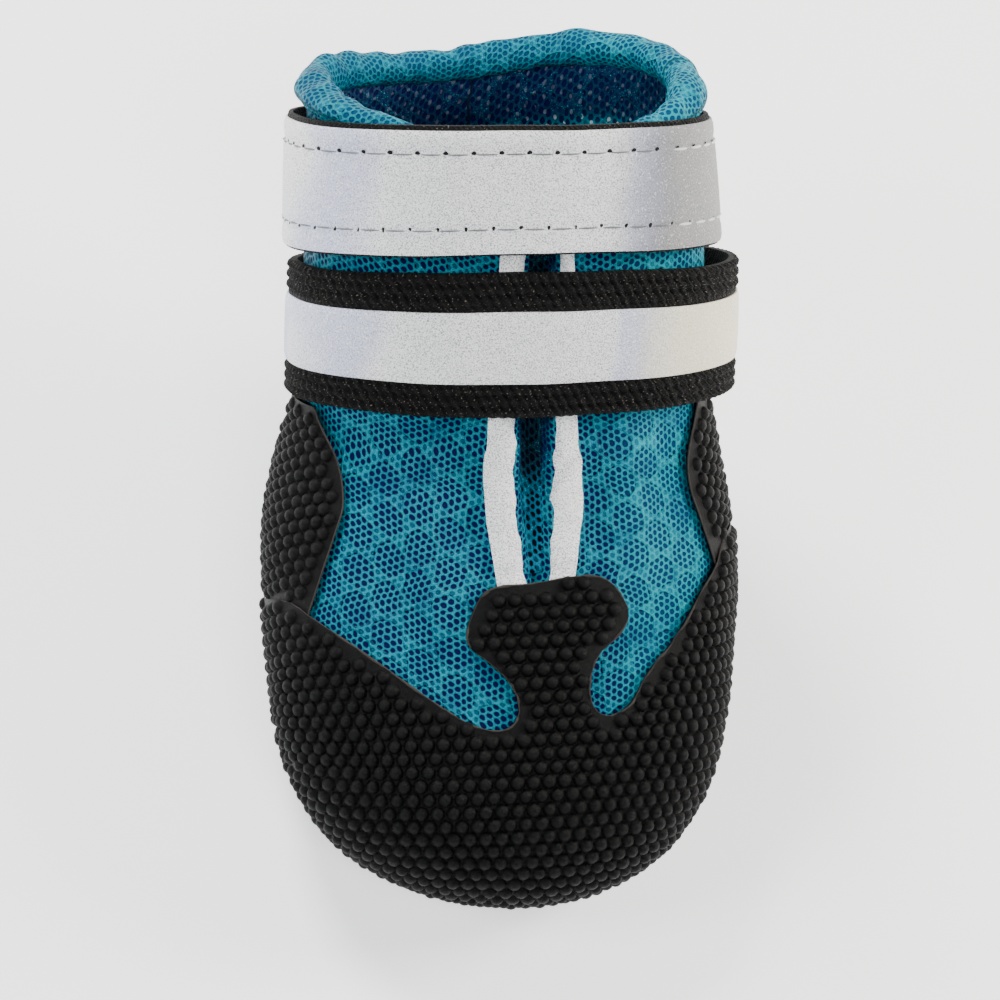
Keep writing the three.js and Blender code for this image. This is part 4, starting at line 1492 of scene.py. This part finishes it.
# Name, place, size, watts and colour.
LAMPS = (
    ("top", (-0.2, 0.5, 0.5), 0.2, 7.2, (1.0, 0.99, 0.97)),
    ("left", (-0.55, -0.05, 0.42), 0.22, 2.6, (0.95, 0.97, 1.0)),
    ("front", (0.0, -0.4, 0.62), 0.3, 3.0, (0.97, 0.98, 1.0)),
    ("right", (0.5, 0.05, 0.3), 0.2, 4.6, (1.0, 0.96, 0.9)),
)
CAMERA_TURN = 13  # degrees round the view's upright
CAMERA_ROLL = 2.2  # degrees
CAMERA_SHIFT = (-3.3, 63.76)  # right and up in the view, millimetres
CAMERA_AWAY = 458
CAMERA_LENS = 108.54


class DOGBOOT_OT_stage(bpy.types.Operator):
    """Sets the pale floor, the studio lights and the camera."""

    bl_idname = "dogboot.stage"
    bl_label = "Stage"

    def execute(self, context):
        scene = context.scene
        mesh = bpy.data.meshes.new("floor")
        mesh.from_pydata([(-3, -3, 0), (3, -3, 0), (3, 3, 0), (-3, 3, 0)], [], [(0, 1, 2, 3)])
        mesh.materials.append(floor_finish("studio_floor", tuple(settings()[1].floor)))
        floor = bpy.data.objects.new("floor", mesh)
        scene.collection.objects.link(floor)

        world = bpy.data.worlds.new("studio")
        world.use_nodes = True
        sky = world.node_tree.nodes["Background"].inputs
        sky["Color"].default_value = (0.93, 0.96, 1.0, 1)
        sky["Strength"].default_value = 0.22
        scene.world = world
        for name, place, size, power, colour in LAMPS:
            light = bpy.data.lights.new(name, "AREA")
            light.size, light.energy, light.color = size, power, colour
            lamp = bpy.data.objects.new(name, light)
            lamp.location = place
            aim = Vector((0, 0, 0.03)) - Vector(place)
            lamp.rotation_euler = aim.to_track_quat("-Z", "Y").to_euler()
            scene.collection.objects.link(lamp)

        turned, roll = math.radians(CAMERA_TURN), math.radians(CAMERA_ROLL)
        ahead = np.array([0, -math.cos(FRONT_VIEW), math.sin(FRONT_VIEW)])
        rise = np.array([0, math.sin(FRONT_VIEW), math.cos(FRONT_VIEW)])
        back = ahead * math.cos(turned) - np.array([1.0, 0, 0]) * math.sin(turned)
        side = np.cross(-back, rise)
        up = rise * math.cos(roll) + side * math.sin(roll)
        right = side * math.cos(roll) - rise * math.sin(roll)
        right, up, back = unit(right), unit(up), unit(back)
        place = (right * CAMERA_SHIFT[0] + up * CAMERA_SHIFT[1] + back * CAMERA_AWAY + FORM_PLACE) * MM
        lens = bpy.data.cameras.new("camera")
        lens.lens, lens.sensor_width = CAMERA_LENS, 36
        camera = bpy.data.objects.new("camera", lens)
        turned_frame = Matrix([right, up, back]).transposed().to_4x4()
        camera.matrix_world = Matrix.Translation(place) @ turned_frame
        scene.collection.objects.link(camera)
        scene.camera = camera
        return {"FINISHED"}


class DOGBOOT_PT_panel(bpy.types.Panel):
    """Sizes, colours and steps of the dog boot."""

    bl_idname = "DOGBOOT_PT_panel"
    bl_label = "Dog Boot"
    bl_space_type = "VIEW_3D"
    bl_region_type = "UI"
    bl_category = "Dog Boot"

    def draw(self, context):
        for group in (context.scene.dog_boot_sizes, context.scene.dog_boot_colours):
            for name in group.__annotations__:
                self.layout.prop(group, name)
        for step in STEPS:
            self.layout.operator(step.bl_idname)


STEPS = (
    DOGBOOT_OT_stage,
    DOGBOOT_OT_upper,
    DOGBOOT_OT_collar,
    DOGBOOT_OT_overlays,
    DOGBOOT_OT_stripes,
    DOGBOOT_OT_sole,
    DOGBOOT_OT_straps,
    DOGBOOT_OT_patches,
)
CLASSES = (DOGBOOT_PG_sizes, DOGBOOT_PG_colours, *STEPS, DOGBOOT_PT_panel)


def register():
    for cls in CLASSES:
        bpy.utils.register_class(cls)
    bpy.types.Scene.dog_boot_sizes = bpy.props.PointerProperty(type=DOGBOOT_PG_sizes)
    bpy.types.Scene.dog_boot_colours = bpy.props.PointerProperty(type=DOGBOOT_PG_colours)


def unregister():
    del bpy.types.Scene.dog_boot_colours
    del bpy.types.Scene.dog_boot_sizes
    for cls in reversed(CLASSES):
        bpy.utils.unregister_class(cls)


def main():
    register()
    for step in STEPS:
        group, name = step.bl_idname.split(".")
        getattr(getattr(bpy.ops, group), name)()


if __name__ == "__main__":
    main()
